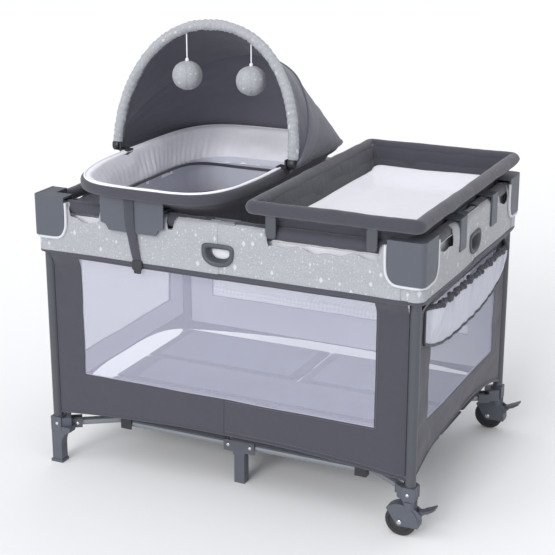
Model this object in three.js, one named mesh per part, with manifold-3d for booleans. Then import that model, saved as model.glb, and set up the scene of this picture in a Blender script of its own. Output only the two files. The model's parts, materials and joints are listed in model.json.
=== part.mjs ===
// Travel play yard: a folding steel frame with fabric walls, a bassinet with a canopy, and a changer.
// Millimetres. X runs along the long side, towards the casters; +Y points to the rear; +Z points up.
// Each corner is drawn once, in the +X +Y quadrant, and mirrored into place by its group's scale.
import * as THREE from "three";
import { mergeVertices } from "three/addons/utils/BufferGeometryUtils.js";
import Module from "manifold-3d";

const wasm = await Module();
wasm.setup();
const degrees = THREE.MathUtils.degToRad;

// ---------------------------------------------------------------- driving dimensions
const LEG_X = 478; // leg centre lines, from the middle of the yard
const LEG_Y = 338;
const LEG_R = 12.5;
const FOLD_OFFSET = 70; // what is left of each leg coordinate when the frame is folded right up
const RAIL_PIN = 50; // rail pin, inboard of the leg
const RAIL_CENTRE = FOLD_OFFSET - RAIL_PIN; // inner rail pivot, from the middle of the side
const RAIL_Z = 686;
const RAIL_R = 11;
const CASTING_TOP = 712;
const CASTING_BOTTOM = 612;
const CASTING_OUT = 26; // outer faces of a corner casting, from the leg centre
const WALL_IN = 18; // inner face of the fabric walls, from the leg centre
const WALL_T = 3;
const WALL_TOP = 698;
const CLOTH_IN = 1; // inner face of the net, corner panels and skirt, from the leg centre
const SEAM_Z = 575; // lower edge of the printed band
const HALF_GAP = 0.25; // between the middle of a side and each half of its fabric
const SKIRT_LONG = 163; // lower edge of the fabric, middle of the long sides
const SKIRT_END = 190;
const SKIRT_CORNER = 138;
const POCKET = { inner: 300, out: 32, top: 566, low: 410, wall: 2.5 }; // on the right end
const PORT = { top: 644, bottom: 606, halfTop: 32, halfBottom: 22 };
const BASE_Z = 100; // height of the base tubes
const FLOOR_Z = 134; // underside of the floor pad
const FLOOR_T = 22;
const ARM_R = 10;
const LINK_R = 9.5;
const FOOT_PIN = { x: 31.8, y: 38 }; // arm pin, inboard of the leg
const KNUCKLE_AT = 140; // distance of the knuckle from the arm's foot pin
const LINK_PIN = { x: 8, y: 25.9 }; // link pin, inboard and outboard of the knuckle
const EAR_GAP = 11.3; // half the space between two ears
const EAR_T = 3.6;
const PIN_R = 3.6;
const HOLE_R = 4.6;
const WHEEL_R = 38;
const TRAIL = 20; // wheel axle, inboard of its swivel
const BASSINET_X = -190;
const RIM = { a: 228, b: 390, top: 770, height: 26, width: 20 };
const TUB_BOTTOM = 577;
const BRACKET_X = [-308, -137]; // where the bassinet hangs on the long rails
const SUPER = 3.2; // roundness of the bassinet's plan
const BOW = { y: -75, z: 782, r: 11 };
const FRONT = { halfWidth: 247, height: 319, tilt: degrees(77.3), full: 0.927 };
const REAR = { halfWidth: 263, height: 359, tilt: degrees(34.8), full: 1.08 };
const CHANGER = { x0: 71, x1: 500, y: 375, z: 738.5, r: 23.5 };
const PAN_BOTTOM = 664;
const HOOKS_Y = [-98, 142]; // hooks on the end rail
const TOY_R = 38;
const TOY_Z = 963;
const TOYS_X = [-266, -85];

// directions and lengths that follow
const armRunX = LEG_X - FOLD_OFFSET;
const armRunY = LEG_Y - FOLD_OFFSET;
const armLength = Math.hypot(armRunX, armRunY);
const armAngle = Math.atan2(armRunY, armRunX);
const hubPin = { x: FOLD_OFFSET - FOOT_PIN.x, y: FOLD_OFFSET - FOOT_PIN.y };
const footPin = { x: LEG_X - FOOT_PIN.x, y: LEG_Y - FOOT_PIN.y };
const knuckle = {
  x: footPin.x - KNUCKLE_AT * Math.cos(armAngle),
  y: footPin.y - KNUCKLE_AT * Math.sin(armAngle),
};
const linkPin = { x: knuckle.x - LINK_PIN.x, y: knuckle.y + LINK_PIN.y };
const centrePinX = linkPin.x - (armLength - KNUCKLE_AT) * Math.cos(armAngle);

// ---------------------------------------------------------------- materials
const paint = (color, roughness, metalness = 0) =>
  new THREE.MeshStandardMaterial({ color, roughness, metalness });
const STEEL = paint(0x8f949b, 0.35, 0.7);
const DARK_TUBE = paint(0x5b6068, 0.4, 0.3);
const PLASTIC = paint(0x666a72, 0.5);
const FABRIC = paint(0x5d5d67, 0.9);
const PRINT = paint(0xb9bcc2, 0.9);
const WHITE = paint(0xe9e9f2, 0.9);
const TYRE = paint(0x2f3030, 0.7);

// ---------------------------------------------------------------- solids
function solid(geometry) {
  const bare = geometry.clone();
  bare.deleteAttribute("normal");
  bare.deleteAttribute("uv");
  const merged = mergeVertices(bare, 1e-3);
  return new wasm.Manifold(
    new wasm.Mesh({
      numProp: 3,
      vertProperties: new Float32Array(merged.attributes.position.array),
      triVerts: new Uint32Array(merged.index.array),
    }),
  );
}

function join(first, ...others) {
  return others.reduce((whole, other) => whole.add(other), first);
}

function cut(first, ...others) {
  return others.reduce((whole, other) => whole.subtract(other), first);
}

function toMesh(name, body, material) {
  const data = body.getMesh();
  const geometry = new THREE.BufferGeometry();
  geometry.setAttribute(
    "position",
    new THREE.BufferAttribute(new Float32Array(data.vertProperties), 3),
  );
  geometry.setIndex(new THREE.BufferAttribute(new Uint32Array(data.triVerts), 1));
  geometry.computeVertexNormals();
  const mesh = new THREE.Mesh(geometry, material);
  mesh.name = name;
  return mesh;
}

function box(x0, x1, y0, y1, z0, z1) {
  const g = new THREE.BoxGeometry(x1 - x0, y1 - y0, z1 - z0);
  return solid(g.translate((x0 + x1) / 2, (y0 + y1) / 2, (z0 + z1) / 2));
}

// A box turned about the vertical line through (cx, cy): t runs along angle, n to its left.
function turnedBox(cx, cy, angle, [t0, t1], [n0, n1], [z0, z1]) {
  const g = new THREE.BoxGeometry(t1 - t0, n1 - n0, z1 - z0);
  g.translate((t0 + t1) / 2, (n0 + n1) / 2, (z0 + z1) / 2);
  return solid(g.rotateZ(angle).translate(cx, cy, 0));
}

// A cylinder between two points, each an array of three numbers.
function rod(from, to, radius, sides = 12) {
  const a = new THREE.Vector3(...from);
  const b = new THREE.Vector3(...to);
  const g = new THREE.CylinderGeometry(radius, radius, a.distanceTo(b), sides);
  const turn = new THREE.Quaternion().setFromUnitVectors(
    new THREE.Vector3(0, 1, 0),
    b.clone().sub(a).normalize(),
  );
  const middle = a.clone().add(b).multiplyScalar(0.5);
  return solid(g.applyQuaternion(turn).translate(middle.x, middle.y, middle.z));
}

// An outline in the XZ plane, given thickness along Y.
function slabXZ(shape, y0, y1, curveSegments = 6) {
  const g = new THREE.ExtrudeGeometry(shape, {
    depth: y1 - y0,
    bevelEnabled: false,
    curveSegments,
  });
  return solid(g.rotateX(Math.PI / 2).translate(0, y1, 0));
}

// An outline in the YZ plane, given thickness along X.
function slabYZ(shape, x0, x1, curveSegments = 6) {
  const g = new THREE.ExtrudeGeometry(shape, {
    depth: x1 - x0,
    bevelEnabled: false,
    curveSegments,
  });
  return solid(g.rotateX(Math.PI / 2).rotateZ(Math.PI / 2).translate(x0, 0, 0));
}

function polygon(points) {
  return new THREE.Shape(points.map(([x, y]) => new THREE.Vector2(x, y)));
}

// A closed surface through rings of points. Rings are loops of equal length; ends are capped
// with a fan, or the last ring is joined to the first when loop is true.
function loft(rings, loop = false) {
  const n = rings[0].length;
  const positions = rings.flat().flatMap((p) => [p.x, p.y, p.z]);
  const index = [];
  const last = loop ? rings.length : rings.length - 1;
  for (let i = 0; i < last; i++) {
    const next = (i + 1) % rings.length;
    for (let j = 0; j < n; j++) {
      const k = (j + 1) % n;
      const [a, b, c, d] = [i * n + j, i * n + k, next * n + k, next * n + j];
      index.push(a, b, c, a, c, d);
    }
  }
  if (!loop) {
    for (const [ring, flip] of [[0, true], [rings.length - 1, false]]) {
      const centre = new THREE.Vector3();
      rings[ring].forEach((p) => centre.addScaledVector(p, 1 / n));
      const at = positions.length / 3;
      positions.push(centre.x, centre.y, centre.z);
      for (let j = 0; j < n; j++) {
        const [a, b] = [ring * n + j, ring * n + ((j + 1) % n)];
        index.push(at, flip ? b : a, flip ? a : b);
      }
    }
  }
  const g = new THREE.BufferGeometry();
  g.setAttribute("position", new THREE.Float32BufferAttribute(positions, 3));
  g.setIndex(index);
  const body = solid(g);
  if (body.volume() > 0) return body;
  g.setIndex(index.reduce((all, _, i) => (i % 3 ? all : [...all, index[i], index[i + 2], index[i + 1]]), []));
  return solid(g);
}

// A point on the bassinet's plan outline, for half sizes a and b at angle t.
function planPoint(a, b, t, z) {
  const [c, s] = [Math.cos(t), Math.sin(t)];
  const x = Math.sign(c) * a * Math.abs(c) ** (2 / SUPER);
  const y = Math.sign(s) * b * Math.abs(s) ** (2 / SUPER);
  return new THREE.Vector3(BASSINET_X + x, y, z);
}

// A ring-shaped solid on the bassinet's plan: section is a loop of [inset, z] pairs.
function planRing(section, steps) {
  const rings = [];
  for (let i = 0; i < steps; i++) {
    const t = (2 * Math.PI * i) / steps;
    rings.push(section.map(([inA, inB, z]) => planPoint(RIM.a - inA, RIM.b - inB, t, z)));
  }
  return loft(rings, true);
}

// ---------------------------------------------------------------- corner pieces (+X +Y quadrant)
function makePost() {
  return rod([LEG_X, LEG_Y, 126.5], [LEG_X, LEG_Y, 619.5], LEG_R, 16);
}

// Rounded lower corner of a casting's side, seen square on: u runs outwards to the leg.
function castingSide(legAt) {
  const [inner, outer, r] = [legAt - 62, legAt + CASTING_OUT + 2, 34];
  const s = new THREE.Shape();
  s.moveTo(inner, CASTING_TOP + 1);
  s.lineTo(inner, CASTING_BOTTOM + r);
  s.quadraticCurveTo(inner, CASTING_BOTTOM, inner + r, CASTING_BOTTOM);
  s.lineTo(outer, CASTING_BOTTOM);
  s.lineTo(outer, CASTING_TOP + 1);
  return s;
}

function makeCasting() {
  const skin = 4.5;
  const [ox, oy] = [LEG_X + CASTING_OUT, LEG_Y + CASTING_OUT];
  const [ix, iy] = [LEG_X - 62, LEG_Y - 62];
  const round = 16;
  const plan = new THREE.Shape();
  plan.moveTo(ix, oy - skin);
  plan.lineTo(ox - round, oy - skin);
  plan.quadraticCurveTo(ox - skin, oy - skin, ox - skin, oy - round);
  plan.lineTo(ox - skin, iy);
  plan.lineTo(ox, iy);
  plan.lineTo(ox, oy - round);
  plan.quadraticCurveTo(ox, oy, ox - round, oy);
  plan.lineTo(ix, oy);
  const wall = new THREE.ExtrudeGeometry(plan, {
    depth: CASTING_TOP - CASTING_BOTTOM,
    bevelEnabled: false,
    curveSegments: 5,
  });
  const shell = solid(wall.translate(0, 0, CASTING_BOTTOM));
  const sides = slabXZ(castingSide(LEG_X), LEG_Y - 80, oy + 1).intersect(
    slabYZ(castingSide(LEG_Y), LEG_X - 80, ox + 1),
  );
  const lid = join(
    box(ix, LEG_X + 22, LEG_Y - 16, LEG_Y + 22, CASTING_TOP - 5, CASTING_TOP - 0.5),
    box(LEG_X - 16, LEG_X + 22, iy, LEG_Y + 22, CASTING_TOP - 5, CASTING_TOP - 0.5),
  );
  const core = box(LEG_X - 15, LEG_X + 22, LEG_Y - 15, LEG_Y + 22, 620, CASTING_TOP - 2);
  const cheeks = join(
    box(ix, LEG_X - 14, LEG_Y - 16, LEG_Y - 13, RAIL_Z - 14, CASTING_TOP - 2),
    box(LEG_X - 16, LEG_X - 13, iy, LEG_Y - 14, RAIL_Z - 14, CASTING_TOP - 2),
  );
  const [px, py] = [LEG_X - RAIL_PIN, LEG_Y - RAIL_PIN];
  const pins = join(
    rod([px, LEG_Y - 15, RAIL_Z], [px, oy - 2, RAIL_Z], PIN_R, 10),
    rod([LEG_X - 15, py, RAIL_Z], [ox - 2, py, RAIL_Z], PIN_R, 10),
  );
  return join(shell.intersect(sides), lid, core, cheeks, pins);
}

// The bracket at the bottom of a leg that takes the base arm, from height z0 up.
function legBracket(z0) {
  const [t0, t1] = [16, 44];
  const block = turnedBox(footPin.x, footPin.y, armAngle, [t0, t1], [-15, 30], [z0, 122]);
  const core = box(LEG_X - 15, LEG_X + 15, LEG_Y - 14, LEG_Y + 14, z0, 126);
  const outer = [EAR_GAP, EAR_GAP + EAR_T];
  const inner = [-EAR_GAP - EAR_T, -EAR_GAP];
  const ears = [outer, inner].map((n) =>
    turnedBox(footPin.x, footPin.y, armAngle, [-12, t0 + 2], n, [88, 112]),
  );
  return join(block, core, ...ears, armPin());
}

// The pin between a leg bracket's ears that the base arm turns on.
function armPin() {
  const across = armAngle + Math.PI / 2;
  const half = EAR_GAP + 2.7;
  const [dx, dy] = [Math.cos(across) * half, Math.sin(across) * half];
  return rod(
    [footPin.x - dx, footPin.y - dy, BASE_Z],
    [footPin.x + dx, footPin.y + dy, BASE_Z],
    PIN_R,
  );
}

function makeFoot() {
  const column = new THREE.Shape();
  column.moveTo(LEG_X - 13, 0);
  column.lineTo(LEG_X + 15, 0);
  column.lineTo(LEG_X + 15, 100);
  column.lineTo(LEG_X - 40, 100);
  column.lineTo(LEG_X - 40, 88);
  column.quadraticCurveTo(LEG_X - 15, 84, LEG_X - 13, 50);
  const body = slabXZ(column, LEG_Y - 13, LEG_Y + 13);
  const flange = box(LEG_X - 15, LEG_X + 19, LEG_Y - 15, LEG_Y + 15, 0, 7);
  const armRoom = turnedBox(footPin.x, footPin.y, armAngle, [-30, 15.9], [-EAR_GAP, EAR_GAP], [60, 130]);
  return join(cut(join(legBracket(88), body, flange), armRoom), armPin());
}

function makeCasterBracket() {
  const bore = rod([LEG_X, LEG_Y, 80], [LEG_X, LEG_Y, 114], 6.6, 16);
  return cut(legBracket(91.5), bore);
}

function makeArm() {
  const [c, s] = [Math.cos(armAngle), Math.sin(armAngle)];
  const reach = 8;
  const body = rod(
    [hubPin.x - c * reach, hubPin.y - s * reach, BASE_Z],
    [footPin.x + c * reach, footPin.y + s * reach, BASE_Z],
    ARM_R,
  );
  const holes = [hubPin, knuckle, footPin].map((p) =>
    rod([p.x + s * 20, p.y - c * 20, BASE_Z], [p.x - s * 20, p.y + c * 20, BASE_Z], HOLE_R, 10),
  );
  return cut(body, ...holes);
}

function makeKnuckle() {
  const z = [86, 114];
  const cheek = 10.8;
  const plate = turnedBox(knuckle.x, knuckle.y, armAngle, [-15, 13], [11.2, 14.8], z);
  const { x, y } = linkPin;
  const inner = box(x - 12, x + 5, y - cheek - 3, y - cheek, ...z);
  const outer = box(x - 12, x + 18, y + cheek, y + cheek + 3, ...z);
  const web = box(x + 13, x + 18, y - 30, y + cheek + 3, ...z);
  const armRoom = turnedBox(knuckle.x, knuckle.y, armAngle, [-60, 60], [-60, 11], [60, 140]);
  const [c, s] = [Math.cos(armAngle), Math.sin(armAngle)];
  const armPinShaft = rod(
    [knuckle.x + s * 12, knuckle.y - c * 12, BASE_Z],
    [knuckle.x - s * 13, knuckle.y + c * 13, BASE_Z],
    PIN_R,
  );
  const linkPinShaft = rod([x, y - cheek - 1, BASE_Z], [x, y + cheek + 1, BASE_Z], PIN_R);
  return join(cut(join(plate, inner, outer, web), armRoom), armPinShaft, linkPinShaft);
}

function makeLink() {
  const { x, y } = linkPin;
  const body = rod([centrePinX - 6, y, BASE_Z], [x + 6, y, BASE_Z], LINK_R);
  const holes = [centrePinX, x].map((at) =>
    rod([at, y - 20, BASE_Z], [at, y + 20, BASE_Z], HOLE_R, 10),
  );
  return cut(body, ...holes);
}

// A half rail along X or Y. The latched half carries the centre lock's two cheeks.
function makeRail(alongX, latched) {
  const legAt = alongX ? LEG_X : LEG_Y;
  const lineAt = alongX ? LEG_Y : LEG_X;
  const put = (u, v) => (alongX ? [u, v] : [v, u]);
  const block = (u0, u1, v0, v1, z0, z1) =>
    alongX ? box(u0, u1, v0, v1, z0, z1) : box(v0, v1, u0, u1, z0, z1);
  const inner = RAIL_CENTRE - 6;
  const outer = legAt - RAIL_PIN + 8;
  const tube = rod([...put(inner, lineAt), RAIL_Z], [...put(outer, lineAt), RAIL_Z], RAIL_R);
  const hole = rod(
    [...put(legAt - RAIL_PIN, lineAt - 20), RAIL_Z],
    [...put(legAt - RAIL_PIN, lineAt + 20), RAIL_Z],
    HOLE_R,
    10,
  );
  const rail = cut(tube, hole);
  if (!latched) return rail;
  const [gap, t] = [12.5, 3.5];
  const cheeks = [lineAt - gap - t, lineAt + gap].map((v) =>
    block(-42, 46, v, v + t, RAIL_Z - 15, RAIL_Z + 14),
  );
  const web = block(24, 46, lineAt - gap - 1, lineAt + gap + 1, RAIL_Z - 15, RAIL_Z + 14);
  return join(rail, ...cheeks, web);
}

// Half of a side's printed band, u from the middle of the side out to the corner.
function bandOutline(legAt) {
  const outer = legAt + WALL_IN + WALL_T;
  const casting = legAt - 66;
  const gap = HALF_GAP;
  const s = new THREE.Shape();
  s.moveTo(gap, SEAM_Z);
  s.lineTo(outer, SEAM_Z);
  s.lineTo(outer, 604);
  s.lineTo(casting, 604);
  s.lineTo(casting, WALL_TOP);
  s.lineTo(gap, WALL_TOP);
  s.lineTo(gap, PORT.top);
  s.lineTo(PORT.halfTop, PORT.top);
  s.lineTo(PORT.halfBottom, PORT.bottom);
  s.lineTo(gap, PORT.bottom);
  return s;
}

// Half of a side's corner panel, net and skirt, which end beside the post.
function clothOutline(legAt, skirt) {
  const post = legAt - LEG_R - 0.5;
  const s = new THREE.Shape();
  s.moveTo(HALF_GAP, skirt);
  s.quadraticCurveTo(legAt * 0.68, skirt, post, SKIRT_CORNER);
  s.lineTo(post, SEAM_Z + WALL_T);
  s.lineTo(HALF_GAP, SEAM_Z + WALL_T);
  return s;
}

// Half of the gathered pocket on the end wall, open at the top.
function pocketHalf() {
  const x0 = LEG_X + CLOTH_IN + WALL_T - 0.5;
  const x1 = LEG_X + POCKET.out;
  const y1 = POCKET.inner;
  const s = new THREE.Shape();
  s.moveTo(HALF_GAP, POCKET.low);
  s.quadraticCurveTo(y1 * 0.7, POCKET.low, y1, POCKET.low + 30);
  s.lineTo(y1, POCKET.top);
  s.lineTo(HALF_GAP, POCKET.top);
  const body = slabYZ(s, x0, x1, 5);
  const w = POCKET.wall;
  return cut(body, box(x0 + w, x1 - w, -1, y1 - w, POCKET.low + 34, POCKET.top + 5));
}

function makeWall(withPocket) {
  const [x0, y0] = [LEG_X + WALL_IN, LEG_Y + WALL_IN];
  const [x1, y1] = [LEG_X + CLOTH_IN, LEG_Y + CLOTH_IN];
  const post = LEG_R + 0.5;
  const wall = join(
    slabXZ(bandOutline(LEG_X), y0, y0 + WALL_T),
    slabYZ(bandOutline(LEG_Y), x0, x0 + WALL_T),
    box(HALF_GAP, LEG_X - post, y1, y0 + 1, SEAM_Z, SEAM_Z + WALL_T),
    box(x1, x0 + 1, HALF_GAP, LEG_Y - post, SEAM_Z, SEAM_Z + WALL_T),
    slabXZ(clothOutline(LEG_X, SKIRT_LONG), y1, y1 + WALL_T, 5),
    slabYZ(clothOutline(LEG_Y, SKIRT_END), x1, x1 + WALL_T, 5),
  );
  return withPocket ? join(wall, pocketHalf()) : wall;
}

// ---------------------------------------------------------------- casters (+X +Y quadrant)
const AXLE = { x: LEG_X - TRAIL, z: WHEEL_R };
const PEDAL_PIN = { x: LEG_X + 26, z: 60 };

function arcPoints(cx, cz, r, from, to, steps) {
  return Array.from({ length: steps + 1 }, (_, i) => {
    const t = degrees(from + ((to - from) * i) / steps);
    return [cx + r * Math.cos(t), cz + r * Math.sin(t)];
  });
}

function makeFork() {
  const { x, z } = AXLE;
  const outline = [...arcPoints(x, z, 45, -12, 138, 12), ...arcPoints(x, z, 11, 190, 300, 5)];
  const hood = slabXZ(polygon(outline), LEG_Y - 15, LEG_Y + 15);
  const wheelRoom = slabXZ(polygon(arcPoints(x, z, 41, 0, 345, 23)), LEG_Y - 11.5, LEG_Y + 11.5);
  const crown = rod([LEG_X, LEG_Y, 70], [LEG_X, LEG_Y, 91], 17, 20);
  const stem = rod([LEG_X, LEG_Y, 90], [LEG_X, LEG_Y, 112], 6, 16);
  const axle = rod([x, LEG_Y - 13, z], [x, LEG_Y + 13, z], 3.5);
  const lugs = [LEG_Y - 13, LEG_Y + 9.5].map((y) =>
    slabXZ(
      polygon([
        [LEG_X + 6, 66],
        [LEG_X + 18, 50],
        [PEDAL_PIN.x + 5, PEDAL_PIN.z - 5],
        [PEDAL_PIN.x + 5, PEDAL_PIN.z + 5],
        [LEG_X + 12, 76],
      ]),
      y,
      y + 3.5,
    ),
  );
  const pin = rod([PEDAL_PIN.x, LEG_Y - 12, PEDAL_PIN.z], [PEDAL_PIN.x, LEG_Y + 12, PEDAL_PIN.z], 2, 8);
  return join(cut(join(hood, crown), wheelRoom), stem, axle, ...lugs, pin);
}

function makeWheel() {
  const half = 9.5;
  const profile = [
    [4.3, -half],
    [12, -half],
    [13, -half + 3],
    [27, -half + 3],
    [29, -half + 0.5],
    [35, -half + 0.5],
    [WHEEL_R, -half + 4],
    [WHEEL_R, half - 4],
    [35, half - 0.5],
    [29, half - 0.5],
    [27, half - 3],
    [13, half - 3],
    [12, half],
    [4.3, half],
    [4.3, -half],
  ];
  const g = new THREE.LatheGeometry(
    profile.map(([r, y]) => new THREE.Vector2(r, y)),
    28,
  );
  return solid(g.translate(AXLE.x, LEG_Y, AXLE.z));
}

function makePedal() {
  const { x, z } = PEDAL_PIN;
  const narrow = polygon([
    [x - 4, z + 6],
    [x + 2, z + 4],
    [x + 16, z + 9],
    [x + 16, z + 16],
    [x, z + 11],
  ]);
  const tread = polygon([
    [x + 8, z + 7],
    [x + 22, z + 12],
    [x + 37, z + 22],
    [x + 36, z + 26],
    [x + 20, z + 18],
    [x + 8, z + 13],
  ]);
  const plate = slabXZ(narrow, LEG_Y - 8.8, LEG_Y + 8.8);
  const foot = slabXZ(tread, LEG_Y - 14, LEG_Y + 14);
  const barrel = rod([x, LEG_Y - 8.8, z], [x, LEG_Y + 8.8, z], 5.5, 14);
  const neck = box(x - 3, x + 3, LEG_Y - 8.8, LEG_Y + 8.8, z + 3, z + 8);
  const bore = rod([x, LEG_Y - 15, z], [x, LEG_Y + 15, z], 2.6, 10);
  return cut(join(plate, foot, barrel, neck), bore);
}

// ---------------------------------------------------------------- hub and centre feet
function makeHub() {
  const puck = rod([0, 0, BASE_Z - 16], [0, 0, BASE_Z + 16], 24, 24);
  const boss = rod([0, 0, BASE_Z + 10], [0, 0, FLOOR_Z - 0.5], 20, 24);
  const ears = [];
  const pins = [];
  const rooms = [];
  for (const sx of [-1, 1]) {
    for (const sy of [-1, 1]) {
      const angle = Math.atan2(sy * Math.sin(armAngle), sx * Math.cos(armAngle));
      const [x, y] = [sx * hubPin.x, sy * hubPin.y];
      const z = [BASE_Z - 13, BASE_Z + 13];
      for (const n of [[EAR_GAP, EAR_GAP + EAR_T], [-EAR_GAP - EAR_T, -EAR_GAP]]) {
        ears.push(turnedBox(x, y, angle, [-48, 12], n, z));
      }
      const across = angle + Math.PI / 2;
      const [dx, dy] = [Math.cos(across) * 13, Math.sin(across) * 13];
      pins.push(rod([x - dx, y - dy, BASE_Z], [x + dx, y + dy, BASE_Z], PIN_R));
      rooms.push(turnedBox(x, y, angle, [-14.5, 60], [-EAR_GAP + 0.1, EAR_GAP - 0.1], [60, FLOOR_Z]));
    }
  }
  return join(cut(join(puck, boss, ...ears), ...rooms), ...pins);
}

function makeCentreFoot() {
  const y = linkPin.y;
  const gap = 10.8;
  const column = box(-14, 14, y - 12, y + 12, 0, 86);
  const head = box(-16, 16, y - gap - 3, y + gap + 3, 76, 87.5);
  const cheeks = [y - gap - 3, y + gap].map((v) =>
    box(-centrePinX - 12, centrePinX + 12, v, v + 3, 84, 114),
  );
  const pins = [-centrePinX, centrePinX].map((x) =>
    rod([x, y - gap - 1, BASE_Z], [x, y + gap + 1, BASE_Z], PIN_R),
  );
  return join(column, head, ...cheeks, ...pins);
}

function makeFloorPad() {
  const [hx, hy, r] = [LEG_X - 16, LEG_Y - 16, 30];
  const s = new THREE.Shape();
  s.moveTo(-hx + r, -hy);
  s.lineTo(hx - r, -hy);
  s.quadraticCurveTo(hx, -hy, hx, -hy + r);
  s.lineTo(hx, hy - r);
  s.quadraticCurveTo(hx, hy, hx - r, hy);
  s.lineTo(-hx + r, hy);
  s.quadraticCurveTo(-hx, hy, -hx, hy - r);
  s.lineTo(-hx, -hy + r);
  s.quadraticCurveTo(-hx, -hy, -hx + r, -hy);
  const g = new THREE.ExtrudeGeometry(s, { depth: FLOOR_T, bevelEnabled: false, curveSegments: 3 });
  return solid(g.translate(0, 0, FLOOR_Z));
}

// ---------------------------------------------------------------- bassinet
function makeRim() {
  const { top, height, width } = RIM;
  const low = top - height;
  const section = [
    [0, 0, low + 5],
    [0, 0, top - 7],
    [6, 6, top],
    [width - 5, width - 5, top],
    [width, width, top - 5],
    [width, width, low + 4],
    [width - 4, width - 4, low],
    [4, 4, low],
  ];
  return planRing(section, 48);
}

const TUB = { t: 4, waist: 706, waistB: 306, floorB: 292, waistA: 204, floorA: 196 };

function makeTub() {
  const topZ = RIM.top - RIM.height - 0.4;
  const rings = [
    [RIM.a - 6, RIM.b - 6, topZ],
    [TUB.waistA + 6, TUB.waistB + 4, TUB.waist],
    [TUB.floorA, TUB.floorB, TUB_BOTTOM + 10],
    [TUB.floorA - 10, TUB.floorB - 10, TUB_BOTTOM],
  ];
  const steps = 40;
  const ringAt = ([a, b, z], inset, lift) =>
    Array.from({ length: steps }, (_, i) =>
      planPoint(a - inset, b - inset, (2 * Math.PI * i) / steps, z + lift),
    );
  const outside = loft([...rings].reverse().map((r) => ringAt(r, 0, 0)));
  const inside = loft(
    [...rings].reverse().map((r, i) => ringAt(r, TUB.t, i === 3 ? 4 : i === 0 ? TUB.t : 0)),
  );
  // room for the two brackets that pass between the tub and the rim
  const rooms = [-1, 1].map((s) => {
    const [y0, y1] = [s * (LEG_Y + CASTING_OUT - 2), s * (RIM.b + 5)].sort((p, q) => p - q);
    return box(BRACKET_X[0] - 2, BRACKET_X[1] + 2, y0, y1, TUB.waist + 10, RIM.top);
  });
  return cut(outside, inside, ...rooms);
}

function makeMattress() {
  const steps = 40;
  const ringAt = (a, b, z) =>
    Array.from({ length: steps }, (_, i) => planPoint(a, b, (2 * Math.PI * i) / steps, z));
  const [a, b, z] = [TUB.floorA - 8, TUB.floorB - 8, TUB_BOTTOM + TUB.t];
  return loft([
    ringAt(a - 8, b - 8, z + 1),
    ringAt(a, b, z + 8),
    ringAt(a, b, z + 16),
    ringAt(a - 8, b - 8, z + 20),
  ]);
}

// The bracket that hangs the bassinet on a long rail (rear one drawn; the front one is mirrored).
function makeBassinetBracket() {
  const [x0, x1] = BRACKET_X;
  const outer = LEG_Y + CASTING_OUT + 2;
  const plate = polygon([
    [x0, RIM.top - RIM.height - 0.5],
    [x0, 668],
    [x0 + 14, 664],
    [x0 + 22, 650],
    [x1 - 22, 650],
    [x1 - 14, 664],
    [x1, 668],
    [x1, RIM.top - RIM.height - 0.5],
  ]);
  return join(
    slabXZ(plate, outer, outer + 4),
    box(x0 + 6, x1 - 6, LEG_Y - 20, outer + 1, 703, 707),
    box(x0 + 6, x1 - 6, LEG_Y - 24, LEG_Y - 20, 672, 707),
  );
}

// A point of a bow: t turns from its right end over the top to its left end.
function bowPoint(t, bow, grow = 0) {
  const cos = Math.cos(t);
  const across = (bow.halfWidth + grow) * Math.sign(cos) * Math.abs(cos) ** bow.full;
  const up = (bow.height + grow) * Math.max(Math.sin(t), 0) ** bow.full;
  return new THREE.Vector3(
    BASSINET_X + across,
    BOW.y + up * Math.cos(bow.tilt),
    BOW.z + up * Math.sin(bow.tilt),
  );
}

function makeBow() {
  const [steps, sides] = [32, 10];
  const side = new THREE.Vector3(0, Math.sin(FRONT.tilt), -Math.cos(FRONT.tilt));
  const rings = [];
  for (let i = 0; i <= steps; i++) {
    const t = (Math.PI * i) / steps;
    const centre = bowPoint(t, FRONT);
    const from = bowPoint(Math.max(t - 0.01, 0), FRONT);
    const ahead = bowPoint(Math.min(t + 0.01, Math.PI), FRONT).sub(from).normalize();
    const out = new THREE.Vector3().crossVectors(ahead, side);
    rings.push(
      Array.from({ length: sides }, (_, j) => {
        const a = (2 * Math.PI * j) / sides;
        return centre
          .clone()
          .addScaledVector(side, BOW.r * Math.cos(a))
          .addScaledVector(out, BOW.r * Math.sin(a));
      }),
    );
  }
  const ends = [-1, 1].map((s) => {
    const x = BASSINET_X + s * FRONT.halfWidth;
    return rod([x - 7, BOW.y, BOW.z], [x + 7, BOW.y, BOW.z], BOW.r + 2, 14);
  });
  const bores = [-1, 1].map((s) => {
    const x = BASSINET_X + s * FRONT.halfWidth;
    return rod([x - 12, BOW.y, BOW.z], [x + 12, BOW.y, BOW.z], HOLE_R, 10);
  });
  return cut(join(loft(rings), ...ends), ...bores);
}

// The hinge clip that stands on the rim and carries one end of the bow.
function makeClip(s) {
  const x = BASSINET_X + s * FRONT.halfWidth;
  const inner = x - s * 12.5;
  const rimTop = RIM.top + 0.4;
  const cheek = [inner, inner - s * 4].sort((p, q) => p - q);
  const foot = [inner, inner - s * 26].sort((p, q) => p - q);
  return join(
    box(...cheek, BOW.y - 11, BOW.y + 11, rimTop, BOW.z + 9),
    box(...foot, BOW.y - 13, BOW.y + 13, rimTop, rimTop + 4),
    rod([inner - s * 2, BOW.y, BOW.z], [x + s * 8, BOW.y, BOW.z], PIN_R, 12),
  );
}

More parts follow.
